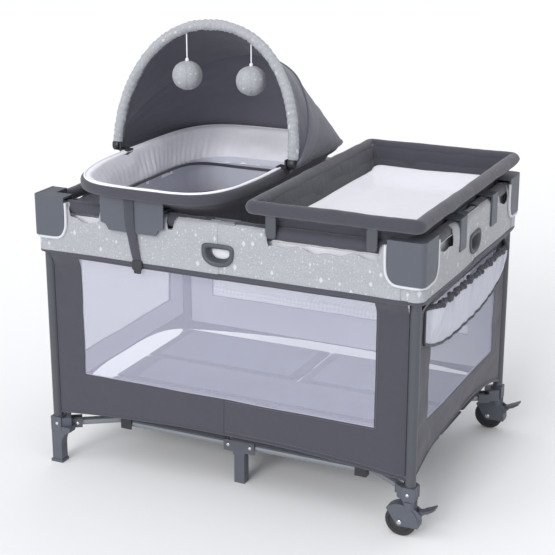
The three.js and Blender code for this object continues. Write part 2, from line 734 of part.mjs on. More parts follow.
// The hood: a thin curved sheet from behind the front bow over the rear bow to the rim.
function makeHood() {
  const across = 26;
  const skin = 3;
  const start = 0.13;
  const behind = new THREE.Vector3(0, BOW.r + 2, 0);
  const belly = new THREE.Vector3(0, 10, 16);
  const rim = (f, inset) => planPoint(RIM.a + 9 - inset, RIM.b + 2 - inset, f, RIM.top + 6);
  const rows = [
    (f, inset) => bowPoint(f, FRONT, -inset).add(behind),
    (f, inset) => bowPoint(f, REAR, -inset),
    (f, inset) => bowPoint(f, REAR, -inset).lerp(rim(f, inset), 0.5).addScaledVector(belly, Math.sin(f)),
    rim,
  ];
  const rings = Array.from({ length: across + 1 }, (_, i) => {
    const f = start + ((Math.PI - 2 * start) * i) / across;
    return [...rows.map((row) => row(f, 0)), ...rows.map((row) => row(f, skin)).reverse()];
  });
  return loft(rings);
}

// Where a toy hangs from the front bow: the turn t whose point is at x.
function hangPoint(x) {
  const share = (x - BASSINET_X) / FRONT.halfWidth;
  return bowPoint(Math.acos(Math.sign(share) * Math.abs(share) ** (1 / FRONT.full)), FRONT);
}

function makeToy(x) {
  const at = hangPoint(x);
  const slope = (hangPoint(x + 1).z - hangPoint(x - 1).z) / 2;
  const top = at.z - (BOW.r + 2) * Math.hypot(1, slope);
  const sphere = new THREE.SphereGeometry(TOY_R, 18, 12).rotateX(Math.PI / 2);
  const ball = solid(sphere.translate(x, at.y, TOY_Z));
  return join(ball, rod([x, at.y, TOY_Z + TOY_R - 3], [x, at.y, top], 1.6, 8));
}

// ---------------------------------------------------------------- changer
function makeChanger() {
  const { x0, x1, y, z, r } = CHANGER;
  const [cx0, cx1, cy] = [x0 + r, x1 - r, y - r];
  const bars = [
    [[cx0, -cy, z], [cx1, -cy, z]],
    [[cx0, cy, z], [cx1, cy, z]],
    [[cx0, -cy, z], [cx0, cy, z]],
    [[cx1, -cy, z], [cx1, cy, z]],
  ].map(([a, b]) => rod(a, b, r, 16));
  const corners = [-cy, cy].flatMap((v) =>
    [cx0, cx1].map((u) => solid(new THREE.SphereGeometry(r, 16, 10).translate(u, v, z))),
  );
  const [px0, px1, py, t] = [x0 + 46, x1 - 48, 314, 4];
  const pan = cut(
    box(px0, px1, -py, py, PAN_BOTTOM, z),
    box(px0 + t, px1 - t, -py + t, py - t, PAN_BOTTOM + t, z + 20),
  );
  const deck = cut(
    box(cx0, cx1, -cy, cy, z - 3, z + 3),
    box(px0 + t, px1 - t, -py + t, py - t, z - 10, z + 10),
  );
  const clips = [-1, 1].flatMap((s) =>
    [136, 380].flatMap((u) => {
      const [a, b] = [s * (LEG_Y + 21.8), s * (LEG_Y + 25)].sort((p, q) => p - q);
      return [box(u - 16, u + 16, a, b, 671, z - 6)];
    }),
  );
  return join(...bars, ...corners, pan, deck, ...clips);
}

function makeChangerPad() {
  const { x0, x1 } = CHANGER;
  const [a, b, c] = [x0 + 46 + 5, x1 - 48 - 5, 309];
  const z = PAN_BOTTOM + 4.4;
  const ringAt = (d, h) => [
    new THREE.Vector3(a + d, -c + d, z + h),
    new THREE.Vector3(b - d, -c + d, z + h),
    new THREE.Vector3(b - d, c - d, z + h),
    new THREE.Vector3(a + d, c - d, z + h),
  ];
  return loft([ringAt(6, 0), ringAt(0, 5), ringAt(0, 22), ringAt(10, 27)]);
}

// The pair of hooks that stay on the end rail; the changer turns on them.
function makeChangerHooks() {
  const xp = LEG_X + WALL_IN + WALL_T + 0.8;
  const plates = HOOKS_Y.map((y) => box(xp, xp + 4, y - 22, y + 22, 628, 707));
  const tops = HOOKS_Y.map((y) => box(LEG_X - 20, xp + 4, y - 22, y + 22, 702, 706));
  const bar = box(LEG_X - 20, LEG_X - 15, HOOKS_Y[0], HOOKS_Y[1], 702, 706);
  const tabs = HOOKS_Y.map((y) => box(LEG_X - 20, LEG_X - 16.5, y - 22, y + 22, 676, 706));
  return join(bar, ...plates, ...tops, ...tabs);
}

// ---------------------------------------------------------------- assembly
const yard = new THREE.Group();
yard.name = "play_yard";

const CORNERS = { fl: [-1, -1], fr: [1, -1], bl: [-1, 1], br: [1, 1] };
for (const [corner, [sx, sy]] of Object.entries(CORNERS)) {
  const group = new THREE.Group();
  group.scale.set(sx, sy, 1);
  const rolling = sx > 0;
  const add = (name, body, material) => group.add(toMesh(`${name}_${corner}`, body, material));
  add("post", makePost(), DARK_TUBE);
  add("casting", makeCasting(), PLASTIC);
  add("bracket", rolling ? makeCasterBracket() : makeFoot(), PLASTIC);
  add("base_arm", makeArm(), STEEL);
  add("knuckle", makeKnuckle(), TYRE);
  add("base_link", makeLink(), STEEL);
  add("long_rail", makeRail(true, sx < 0), STEEL);
  add("end_rail", makeRail(false, sy < 0), STEEL);
  add("wall", makeWall(rolling), FABRIC);
  if (rolling) {
    add("caster_fork", makeFork(), PLASTIC);
    add("caster_wheel", makeWheel(), TYRE);
    add("brake_pedal", makePedal(), TYRE);
  }
  yard.add(group);
}

for (const [name, sy] of [["front", -1], ["back", 1]]) {
  const group = new THREE.Group();
  group.scale.set(1, sy, 1);
  group.add(toMesh(`centre_foot_${name}`, makeCentreFoot(), PLASTIC));
  group.add(toMesh(`bassinet_bracket_${name}`, makeBassinetBracket(), PLASTIC));
  yard.add(group);
}

yard.add(
  toMesh("hub", makeHub(), PLASTIC),
  toMesh("floor_pad", makeFloorPad(), WHITE),
  toMesh("bassinet_rim", makeRim(), FABRIC),
  toMesh("bassinet_tub", makeTub(), FABRIC),
  toMesh("bassinet_mattress", makeMattress(), WHITE),
  toMesh("canopy_bow", makeBow(), PRINT),
  toMesh("canopy_hood", makeHood(), FABRIC),
  toMesh("canopy_clip_left", makeClip(-1), TYRE),
  toMesh("canopy_clip_right", makeClip(1), TYRE),
  toMesh("toy_left", makeToy(TOYS_X[0]), PRINT),
  toMesh("toy_right", makeToy(TOYS_X[1]), PRINT),
  toMesh("changer_frame", makeChanger(), FABRIC),
  toMesh("changer_pad", makeChangerPad(), WHITE),
  toMesh("changer_hooks", makeChangerHooks(), PLASTIC),
);

// the origin is at the middle of the whole object's base
const extent = new THREE.Box3().setFromObject(yard).getCenter(new THREE.Vector3());
yard.position.set(-extent.x, -extent.y, 0);

export default yard;
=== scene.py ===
import json
import math

import bmesh
import bpy
import numpy as np
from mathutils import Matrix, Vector


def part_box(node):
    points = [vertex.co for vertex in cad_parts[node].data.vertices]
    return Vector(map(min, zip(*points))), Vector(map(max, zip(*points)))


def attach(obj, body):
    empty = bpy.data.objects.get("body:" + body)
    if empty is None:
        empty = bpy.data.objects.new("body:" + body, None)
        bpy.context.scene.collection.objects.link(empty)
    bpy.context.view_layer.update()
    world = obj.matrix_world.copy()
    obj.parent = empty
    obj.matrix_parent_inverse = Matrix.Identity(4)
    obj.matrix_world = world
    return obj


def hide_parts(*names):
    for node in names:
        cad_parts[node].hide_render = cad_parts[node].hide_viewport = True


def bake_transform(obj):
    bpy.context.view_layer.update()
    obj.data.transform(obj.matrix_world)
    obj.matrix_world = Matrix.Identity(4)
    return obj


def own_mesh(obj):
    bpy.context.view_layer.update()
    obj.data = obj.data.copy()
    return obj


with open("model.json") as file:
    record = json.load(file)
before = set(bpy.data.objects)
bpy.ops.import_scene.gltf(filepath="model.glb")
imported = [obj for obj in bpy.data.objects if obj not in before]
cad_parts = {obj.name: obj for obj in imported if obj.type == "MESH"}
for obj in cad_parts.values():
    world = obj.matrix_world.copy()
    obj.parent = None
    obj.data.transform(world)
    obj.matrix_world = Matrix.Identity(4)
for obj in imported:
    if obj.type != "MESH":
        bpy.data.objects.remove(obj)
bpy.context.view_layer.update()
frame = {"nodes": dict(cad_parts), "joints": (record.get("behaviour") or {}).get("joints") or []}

NODES = frame["nodes"]


# ------------------------------------------------------------------ places
def middle(node):
    lo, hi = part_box(node)
    return (lo + hi) / 2


CX = (middle("post_fl").x + middle("post_fr").x) / 2
CY = (middle("post_fl").y + middle("post_bl").y) / 2
LEG_X = (middle("post_fr").x - middle("post_fl").x) / 2
LEG_Y = (middle("post_bl").y - middle("post_fl").y) / 2
WALL_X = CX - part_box("wall_fl")[0].x  # outer faces of the walls
WALL_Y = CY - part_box("wall_fl")[0].y
RAIL_Z = middle("long_rail_fl").z
CASTING_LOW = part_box("casting_fl")[0].z
SEAM_Z = 0.575  # band above, net below
NET = {"top": 0.560, "bottom": 0.256, "long": 0.387, "end": 0.248}
RIGID = 0.030  # printed band this close to a leg moves with it
BESIDE = 0.0135  # the cloth below the band ends beside the post
INSET = WALL_Y - LEG_Y - 0.004  # how far it hangs inboard of the band's face
MEET = 0.0006  # each half side's cloth laps its neighbour by this much
CORNERS = {"fl": (-1, -1), "fr": (1, -1), "bl": (-1, 1), "br": (1, 1)}
SIDES = {
    "front": ("long", {-1: "fl", 1: "fr"}),
    "back": ("long", {-1: "bl", 1: "br"}),
    "left": ("end", {-1: "fl", 1: "bl"}),
    "right": ("end", {-1: "fr", 1: "br"}),
}


def leg_at(kind):
    return LEG_X if kind == "long" else LEG_Y


def on_side(side, a, out, z):
    """Points on a side: a along it from its middle, out beyond the wall's face."""
    a, out, z = np.broadcast_arrays(a, out, z)
    if side == "front":
        return np.stack([CX + a, CY - WALL_Y - out, z], -1)
    if side == "back":
        return np.stack([CX + a, CY + WALL_Y + out, z], -1)
    if side == "left":
        return np.stack([CX - WALL_X - out, CY + a, z], -1)
    return np.stack([CX + WALL_X + out, CY + a, z], -1)


def smooth(t):
    t = np.clip(t, 0, 1)
    return t * t * (3 - 2 * t)


def noise2(u, v, seed=0):
    """Smooth random values from -1 to 1, one lattice cell per unit."""
    table = np.random.default_rng(seed).uniform(-1, 1, (64, 64))
    i, j = np.floor(u).astype(int), np.floor(v).astype(int)
    f, g = smooth(u - i), smooth(v - j)
    at = lambda p, q: table[p % 64, q % 64]
    low = at(i, j) * (1 - f) + at(i + 1, j) * f
    high = at(i, j + 1) * (1 - f) + at(i + 1, j + 1) * f
    return low * (1 - g) + high * g


# ------------------------------------------------------------------ materials
def node(tree, kind, **values):
    made = tree.nodes.new(kind)
    for name, value in values.items():
        if name.startswith("in_"):
            key = name[3:]
            made.inputs[int(key) if key.isdigit() else key].default_value = value
        else:
            setattr(made, name, value)
    return made


def material(name, colour, roughness, metallic=0.0, sheen=0.0):
    m = bpy.data.materials.new(name)
    m.use_nodes = True
    m.diffuse_color = (*colour, 1)
    bsdf = m.node_tree.nodes["Principled BSDF"]
    bsdf.inputs["Base Color"].default_value = (*colour, 1)
    bsdf.inputs["Roughness"].default_value = roughness
    bsdf.inputs["Metallic"].default_value = metallic
    bsdf.inputs["Sheen Weight"].default_value = sheen
    return m, m.node_tree, bsdf


def shade(colour, factor):
    return (*[c * factor for c in colour], 1)


def coordinates(tree, use_uv, scale):
    source = node(tree, "ShaderNodeTexCoord")
    mapping = node(tree, "ShaderNodeMapping", in_Scale=scale)
    tree.links.new(source.outputs["UV" if use_uv else "Object"], mapping.inputs["Vector"])
    return mapping.outputs["Vector"]


def vary(tree, bsdf, vector, colour, spread, noise_scale):
    """Base colour that drifts a little between a darker and a lighter shade."""
    noise = node(tree, "ShaderNodeTexNoise", in_Scale=noise_scale, in_Detail=5.0)
    ramp = node(tree, "ShaderNodeMix", data_type="RGBA")
    ramp.inputs[6].default_value = shade(colour, 1 - spread)
    ramp.inputs[7].default_value = shade(colour, 1 + spread)
    tree.links.new(vector, noise.inputs["Vector"])
    tree.links.new(noise.outputs["Fac"], ramp.inputs["Factor"])
    tree.links.new(ramp.outputs[2], bsdf.inputs["Base Color"])
    return ramp.outputs[2]


def weave_height(tree, vector, threads):
    """Height of a plain weave: two crossed sets of threads per metre."""
    across = node(tree, "ShaderNodeTexWave", in_Scale=threads / 6.28, bands_direction="X")
    along = node(tree, "ShaderNodeTexWave", in_Scale=threads / 6.28, bands_direction="Y")
    both = node(tree, "ShaderNodeMath", operation="MULTIPLY")
    for wave, socket in ((across, 0), (along, 1)):
        wave.inputs["Distortion"].default_value = 0.6
        tree.links.new(vector, wave.inputs["Vector"])
        tree.links.new(wave.outputs["Fac"], both.inputs[socket])
    return both.outputs[0]


def bump(tree, bsdf, height, strength, distance, before=None):
    made = node(tree, "ShaderNodeBump", in_Strength=strength, in_Distance=distance)
    tree.links.new(height, made.inputs["Height"])
    if before is not None:
        tree.links.new(before, made.inputs["Normal"])
    tree.links.new(made.outputs["Normal"], bsdf.inputs["Normal"])
    return made.outputs["Normal"]


def creases(tree, vector, scale):
    noise = node(tree, "ShaderNodeTexNoise", in_Scale=scale, in_Detail=3.0, in_Distortion=0.4)
    tree.links.new(vector, noise.inputs["Vector"])
    return noise.outputs["Fac"]


def cloth_material(name, colour, threads=900, roughness=0.9, sheen=0.25, spread=0.07):
    m, tree, bsdf = material(name, colour, roughness, sheen=sheen)
    vector = coordinates(tree, True, (1, 1, 1))
    vary(tree, bsdf, vector, colour, spread, 55)
    soft = bump(tree, bsdf, creases(tree, vector, 16), 0.55, 0.006)
    bump(tree, bsdf, weave_height(tree, vector, threads), 0.35, 0.0004, soft)
    return m


def diamonds(tree, vector, cell, least, most):
    """1 inside small upright diamonds scattered one to a cell, each of its own size, else 0."""
    scaled = node(tree, "ShaderNodeMapping", in_Scale=(1 / cell[0], 1 / cell[1], 1))
    cells = node(tree, "ShaderNodeTexVoronoi", distance="MANHATTAN", voronoi_dimensions="2D", in_Scale=1.0,
                 in_Randomness=0.8)
    random = node(tree, "ShaderNodeSeparateColor")
    limit = node(tree, "ShaderNodeMapRange")
    limit.inputs["To Min"].default_value = least
    limit.inputs["To Max"].default_value = most
    inside = node(tree, "ShaderNodeMath", operation="LESS_THAN")
    links = tree.links
    links.new(vector, scaled.inputs["Vector"])
    links.new(scaled.outputs[0], cells.inputs["Vector"])
    links.new(cells.outputs["Color"], random.inputs[0])
    links.new(random.outputs[0], limit.inputs["Value"])
    links.new(cells.outputs["Distance"], inside.inputs[0])
    links.new(limit.outputs[0], inside.inputs[1])
    return inside.outputs[0]


PRINT_MARKS = [  # cell width and height, smallest and largest mark as shares of a cell, how strong
    ((0.0026, 0.0036), 0.05, 0.48, 0.34),
    ((0.0090, 0.0130), -0.20, 0.26, 0.45),
    ((0.0240, 0.0360), -0.22, 0.22, 0.62),
]


def print_material(name, ground, mark):
    m, tree, bsdf = material(name, ground, 0.9, sheen=0.2)
    vector = coordinates(tree, True, (1, 1, 1))
    base = vary(tree, bsdf, vector, ground, 0.20, 420)
    for cell, least, most, strength in PRINT_MARKS:
        mix = node(tree, "ShaderNodeMix", data_type="RGBA")
        mix.inputs[7].default_value = (*mark, 1)
        share = node(tree, "ShaderNodeMath", operation="MULTIPLY")
        share.inputs[1].default_value = strength
        tree.links.new(diamonds(tree, vector, cell, least, most), share.inputs[0])
        tree.links.new(share.outputs[0], mix.inputs["Factor"])
        tree.links.new(base, mix.inputs[6])
        tree.links.new(mix.outputs[2], bsdf.inputs["Base Color"])
        base = mix.outputs[2]
    soft = bump(tree, bsdf, creases(tree, vector, 14), 0.6, 0.007)
    bump(tree, bsdf, weave_height(tree, vector, 800), 0.35, 0.0004, soft)
    return m


def net_material(name, colour, cover, pitch=0.0024):
    """Netting: threads round small holes, with the holes partly filled by the far layer."""
    m, tree, bsdf = material(name, colour, 0.8, sheen=0.1)
    vector = coordinates(tree, True, (1 / pitch, 1 / pitch, 1))
    cells = node(tree, "ShaderNodeTexVoronoi", in_Scale=1.0, in_Randomness=0.12)
    thread = node(tree, "ShaderNodeMapRange")
    for key, value in (("From Min", 0.34), ("From Max", 0.50), ("To Min", cover), ("To Max", 0.85)):
        thread.inputs[key].default_value = value
    tree.links.new(vector, cells.inputs["Vector"])
    tree.links.new(cells.outputs["Distance"], thread.inputs["Value"])
    tree.links.new(thread.outputs[0], bsdf.inputs["Alpha"])
    bump(tree, bsdf, cells.outputs["Distance"], 0.3, 0.0005)
    return m


def hard_material(name, colour, roughness, metallic=0.0, grain=900, strength=0.12, spread=0.05):
    m, tree, bsdf = material(name, colour, roughness, metallic)
    vector = coordinates(tree, False, (1, 1, 1))
    vary(tree, bsdf, vector, colour, spread, 22)
    noise = node(tree, "ShaderNodeTexNoise", in_Scale=grain, in_Detail=2.0)
    worn = node(tree, "ShaderNodeTexNoise", in_Scale=30.0, in_Detail=4.0)
    rough = node(tree, "ShaderNodeMapRange")
    rough.inputs["To Min"].default_value = roughness - 0.08
    rough.inputs["To Max"].default_value = roughness + 0.10
    tree.links.new(vector, noise.inputs["Vector"])
    tree.links.new(vector, worn.inputs["Vector"])
    tree.links.new(worn.outputs["Fac"], rough.inputs["Value"])
    tree.links.new(rough.outputs[0], bsdf.inputs["Roughness"])
    bump(tree, bsdf, noise.outputs["Fac"], strength, 0.0003)
    return m


DARK = (0.055, 0.055, 0.073)
M = {
    "dark": cloth_material("dark_cloth", DARK),
    "hood": cloth_material("hood_cloth", (0.122, 0.120, 0.155), threads=1000),
    "print": print_material("printed_cloth", (0.35, 0.36, 0.39), (0.66, 0.67, 0.70)),
    "white": cloth_material("white_cloth", (0.90, 0.90, 0.96), threads=1100, spread=0.02),
    "pad": cloth_material("pad_cloth", (0.74, 0.74, 0.80), threads=700, spread=0.02),
    "floor": cloth_material("floor_cloth", (0.25, 0.25, 0.33), threads=700, spread=0.03),
    "net": net_material("side_net", (0.52, 0.53, 0.66), 0.24),
    "fine_net": net_material("fine_net", (0.74, 0.75, 0.86), 0.50, 0.0018),
    "pocket": net_material("pocket_net", (0.66, 0.67, 0.76), 0.72, 0.0016),
    "piping": cloth_material("light_piping", (0.62, 0.63, 0.67), threads=1500, spread=0.03),
    "binding": cloth_material("dark_binding", (0.062, 0.062, 0.082), threads=1400),
    "thread": cloth_material("stitching", (0.20, 0.20, 0.24), threads=3000),
    "slate": hard_material("slate_plastic", (0.088, 0.096, 0.120), 0.48),
    "slate_dark": hard_material("slate_plastic_dark", (0.070, 0.074, 0.090), 0.5),
    "post": hard_material("dark_paint", (0.075, 0.080, 0.095), 0.38, 0.15, grain=300, strength=0.05),
    "steel": hard_material("silver_paint", (0.27, 0.29, 0.32), 0.34, 0.55, grain=400, strength=0.05),
    "black": hard_material("black_plastic", (0.030, 0.031, 0.036), 0.42),
    "tyre": hard_material("tyre_rubber", (0.028, 0.028, 0.030), 0.72, grain=500, strength=0.25),
    "rivet": hard_material("bright_rivet", (0.60, 0.60, 0.62), 0.25, 1.0, grain=200, strength=0.03),
}


# ------------------------------------------------------------------ mesh makers
def make(name, points, faces, uvs, mat):
    mesh = bpy.data.meshes.new(name)
    mesh.from_pydata([tuple(p) for p in points], [], faces)
    if uvs is not None:
        layer = mesh.uv_layers.new(name="UVMap")
        flat = [c for f in uvs for uv in f for c in uv]
        layer.data.foreach_set("uv", flat)
    mesh.polygons.foreach_set("use_smooth", [True] * len(mesh.polygons))
    mesh.materials.append(M[mat])
    made = bpy.data.objects.new(name, mesh)
    bpy.context.scene.collection.objects.link(made)
    return made


def grid(name, P, mat, close_u=False, close_v=False, keep=None, uv=None, flip=False):
    """A sheet through rows and columns of points, with its size in metres as its UV."""
    P = np.asarray(P, float)
    n, m = P.shape[:2]
    if uv is None:
        du = np.linalg.norm(np.diff(P, axis=1), axis=-1).mean(0)
        dv = np.linalg.norm(np.diff(P, axis=0), axis=-1).mean(1)
        u, v = np.concatenate([[0], np.cumsum(du)]), np.concatenate([[0], np.cumsum(dv)])
        U, V = np.meshgrid(u, v)
    else:
        U, V = np.broadcast_arrays(*uv)
    end_u = U[:, -1] + (np.linalg.norm(P[:, 0] - P[:, -1], axis=-1).mean() if close_u else 0)
    end_v = V[-1] + (np.linalg.norm(P[0] - P[-1], axis=-1).mean() if close_v else 0)
    faces, uvs = [], []
    for i in range(n if close_v else n - 1):
        for j in range(m if close_u else m - 1):
            if keep is not None and not keep(i, j):
                continue
            i2, j2 = (i + 1) % n, (j + 1) % m
            at = lambda p, q, pe, qe: (
                float(end_u[p] if qe else U[p, q]),
                float(end_v[q] if pe else V[p, q]),
            )
            pe, qe = i2 == 0, j2 == 0
            quad = [i * m + j, i * m + j2, i2 * m + j2, i2 * m + j]
            corner = [
                at(i, j, False, False),
                at(i, j if qe else j2, False, qe),
                at(i if pe else i2, j if qe else j2, pe, qe),
                at(i if pe else i2, j, pe, False),
            ]
            if flip:
                quad.reverse()
                corner.reverse()
            faces.append(quad)
            uvs.append(corner)
    used = sorted({k for f in faces for k in f})
    new = {k: i for i, k in enumerate(used)}
    flat = P.reshape(-1, 3)
    return make(name, flat[used], [[new[k] for k in f] for f in faces], uvs, mat)


def frames_along(path, closed):
    """Two unit vectors across a path at each of its points, that turn as little as they can."""
    path = np.asarray(path, float)
    if closed:
        ahead = np.roll(path, -1, 0) - np.roll(path, 1, 0)
    else:
        ahead = np.gradient(path, axis=0)
    ahead /= np.linalg.norm(ahead, axis=1)[:, None]
    first = np.array([0.0, 0, 1]) if abs(ahead[0][2]) < 0.9 else np.array([0.0, 1, 0])
    sides, ups = [], []
    up = first
    for t in ahead:
        up = up - t * (up @ t)
        up /= np.linalg.norm(up)
        ups.append(up)
        sides.append(np.cross(t, up))
    return np.array(sides), np.array(ups)


def tube(name, path, radius, mat, sides=10, closed=False, ripple=None):
    """A round cord or padded roll along a path; ripple(along, round) adds to its radius."""
    path = np.asarray(path, float)
    side, up = frames_along(path, closed)
    step = np.linalg.norm(np.diff(path, axis=0), axis=1)
    along = np.concatenate([[0], np.cumsum(step)])
    turn = np.linspace(0, 2 * np.pi, sides, endpoint=False)
    r = np.broadcast_to(np.asarray(radius, float), (len(path),))[:, None] + np.zeros(sides)
    if ripple is not None:
        r = r + ripple(along[:, None], turn[None, :])
    P = path[:, None] + r[..., None] * (
        np.cos(turn)[None, :, None] * side[:, None] + np.sin(turn)[None, :, None] * up[:, None]
    )
    made = grid(name, P, mat, close_u=True, close_v=closed)
    if not closed:
        cap_ends(made, len(path), sides)
    return made


def cap_ends(obj, rows, sides):
    import bmesh

    bm = bmesh.new()
    bm.from_mesh(obj.data)
    bm.verts.ensure_lookup_table()
    bm.faces.new([bm.verts[i] for i in range(sides)][::-1])
    bm.faces.new([bm.verts[(rows - 1) * sides + i] for i in range(sides)])
    bm.to_mesh(obj.data)
    bm.free()


def join(name, objs):
    with bpy.context.temp_override(
        active_object=objs[0], object=objs[0], selected_objects=objs, selected_editable_objects=objs
    ):
        bpy.ops.object.join()
    objs[0].name = name
    objs[0].data.name = name
    return objs[0]


def sharp_border(obj):
    """Keep a sheet's open edges from shading round when it is given thickness."""
    shape = bmesh.new()
    shape.from_mesh(obj.data)
    for edge in shape.edges:
        if edge.is_boundary:
            edge.smooth = False
    shape.to_mesh(obj.data)
    shape.free()


def thicken(obj, thickness, offset=-1.0):
    sharp_border(obj)
    mod = obj.modifiers.new("thickness", "SOLIDIFY")
    mod.thickness = thickness
    mod.offset = offset
    return obj


def spline(points, per=8, closed=False):
    """A smooth line through points."""
    p = np.asarray(points, float)
    n = len(p)
    out = []
    for i in range(n if closed else n - 1):
        a, b, c, d = (
            (p[(i - 1) % n], p[i], p[(i + 1) % n], p[(i + 2) % n])
            if closed
            else (p[max(i - 1, 0)], p[i], p[i + 1], p[min(i + 2, n - 1)])
        )
        for t in np.linspace(0, 1, per, endpoint=False):
            out.append(
                0.5
                * (2 * b + (c - a) * t + (2 * a - 5 * b + 4 * c - d) * t**2 + (3 * b - a - 3 * c + d) * t**3)
            )
    if not closed:
        out.append(p[-1])
    return np.array(out)


def stitches(name, path, outward, pitch=0.0065, length=0.0042, radius=0.0005, lift=0.0004):
    """A row of short stitches along a path that lies on cloth facing outward."""
    path = np.asarray(path, float)
    step = np.linalg.norm(np.diff(path, axis=0), axis=1)
    along = np.concatenate([[0], np.cumsum(step)])
    out = np.asarray(outward, float)
    points, faces, uvs = [], [], []
    for s in np.arange(pitch / 2, along[-1] - length / 2, pitch):
        a = np.array([np.interp(s - length / 2, along, path[:, k]) for k in range(3)])
        b = np.array([np.interp(s + length / 2, along, path[:, k]) for k in range(3)])
        t = (b - a) / np.linalg.norm(b - a)
        side = np.cross(t, out)
        base = len(points)
        for end in (a, b):
            points += [end - side * radius, end + out * (lift + radius), end + side * radius]
        faces += [[base, base + 3, base + 4, base + 1], [base + 1, base + 4, base + 5, base + 2]]
        faces += [[base, base + 1, base + 2], [base + 3, base + 5, base + 4]]
        uvs += [[(0, 0), (1, 0), (1, 1), (0, 1)]] * 2 + [[(0, 0), (1, 0), (1, 1)]] * 2
    return make(name, points, faces, uvs, "thread")


# ------------------------------------------------------------------ fabric walls
def skirt_edge(kind, a):
    """Height of the lower edge of the cloth: arched between the legs."""
    middle_z, t = (0.166, 2.0) if kind == "long" else (0.190, 2.6)
    share = np.clip(np.abs(a) / leg_at(kind), 0, 1)
    return middle_z - (middle_z - 0.140) * share**t


def drape(side, a, z):
    """How far the wall cloth stands off the band's flat face."""
    kind = SIDES[side][0]
    seed = list(SIDES).index(side)
    inboard = smooth((leg_at(kind) - BESIDE - np.abs(a)) / 0.03)
    beside_net = smooth((np.abs(a) - NET[kind] + 0.02) / 0.03)
    crease = 0.0011 * noise2(a / 0.11 + 9, z / 0.016 + 3, seed) * beside_net
    folds = 0.0012 * noise2(a / 0.16 + 9, z / 0.030 + 3, seed)
    slack = 0.0020 * noise2(a / 0.11 + 5, z / 0.12 + 7, seed + 9)
    return inboard * (folds + slack + crease) - INSET * smooth((SEAM_Z + 0.002 - z) / 0.045)


def panel(name, side, sign, edges_a, rows_z, mat, lift=0.0, keep=None):
    a = sign * np.asarray(edges_a)[None, :]
    z = rows_z(a) if callable(rows_z) else np.asarray(rows_z)[:, None] + 0 * a
    a = a + 0 * z
    P = on_side(side, a, drape(side, a, z) + lift, z)
    return grid(name, P, mat, keep=keep, uv=(a + 3.0 * list(SIDES).index(side), z))


def fold_with(obj, side, sign, rigid):
    """The half side rides on its leg."""
    kind, legs = SIDES[side]
    inner = leg_at(kind) - rigid
    at = on_side(side, sign * inner, 0.0, 0.4)
    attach(obj, "leg_" + legs[sign])
    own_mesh(obj)


CUTS = {  # where the band is cut away and the padded rail shows
    "front": [(-0.405, -0.315), (-0.137, -0.112), (0.122, 0.398)],
    "back": [(-0.398, -0.310), (-0.137, -0.112), (0.122, 0.398)],
    "right": [(-0.262, -0.158), (0.196, 0.268)],
    "left": [(-0.262, -0.130), (0.130, 0.262)],
}


def band_length(side, a):
    """How far up and over the rail the printed band reaches, from its lower seam."""
    whole = 0.164
    wavy = 0.086 + 0.004 * np.sin(a * 42) + 0.003 * np.sin(a * 95 + 1)
    shown = np.zeros_like(a)
    for lo, hi in CUTS[side]:
        inside = smooth((a - lo) / 0.014 + 0.5) * smooth((hi - a) / 0.014 + 0.5)
        shown = np.maximum(shown, inside)
    return whole * (1 - shown) + wavy * shown


def band_profile(s):
    """Out and height at a length s along the band: up the face and over the padded rail."""
    r, straight = 0.0175, 0.106
    turn = np.clip((s - straight) / r, 0, None)
    out = np.where(s < straight, 0.0, -r * (1 - np.cos(np.minimum(turn, np.pi))))
    z = np.where(s < straight, SEAM_Z + s, SEAM_Z + straight + r * np.sin(np.minimum(turn, np.pi)))
    below = np.clip(turn - np.pi, 0, None) * r
    return out, z - below


def half_band(side, sign):
    kind, _ = SIDES[side]
    a = sign * np.linspace(-MEET, leg_at(kind) - RIGID, 150 if kind == "long" else 100)[None, :]
    t = np.linspace(0, 1, 26)[:, None]
    s = t * band_length(side, a)
    out, z = band_profile(s)
    ruck = 0.0011 * noise2(a / 0.035 + 2, s / 0.05, 4) * smooth(s / 0.03)
    P = on_side(side, a + 0 * s, out + drape(side, a + 0 * s, SEAM_Z + s) + ruck, z)
    P[..., :] = np.where(
        in_port(a + 0 * s, SEAM_Z + s, 0.004)[..., None], on_side(side, a + 0 * s, -0.0002, SEAM_Z + s), P
    )
    centre_a = (a[0, 1:] + a[0, :-1]) / 2
    centre_z = SEAM_Z + (s[1:, 1:] + s[:-1, :-1]) / 2
    cut = in_port(np.broadcast_to(centre_a, centre_z.shape), centre_z, -0.003)
    return grid("band_%s_%s" % (side, SIDES[side][1][sign]), P, "print",
                keep=lambda i, j: not cut[i, j], uv=(a + 0 * s + 3.0 * list(SIDES).index(side), s))


PORT = {"half": 0.041, "middle": 0.628, "above": 0.020, "below": 0.034}  # outline of the moulded ring


def port_reach(a, z, grow):
    """Below 1 inside the ring's outline: a flat top and a rounded, narrower bottom."""
    up = z > PORT["middle"]
    n = np.where(up, 4.5, 2.3)
    tall = np.where(up, PORT["above"], PORT["below"]) + grow
    return (np.abs(a) / (PORT["half"] + grow)) ** n + (np.abs(z - PORT["middle"]) / tall) ** n


def in_port(a, z, grow):
    return port_reach(a, z, grow) < 1


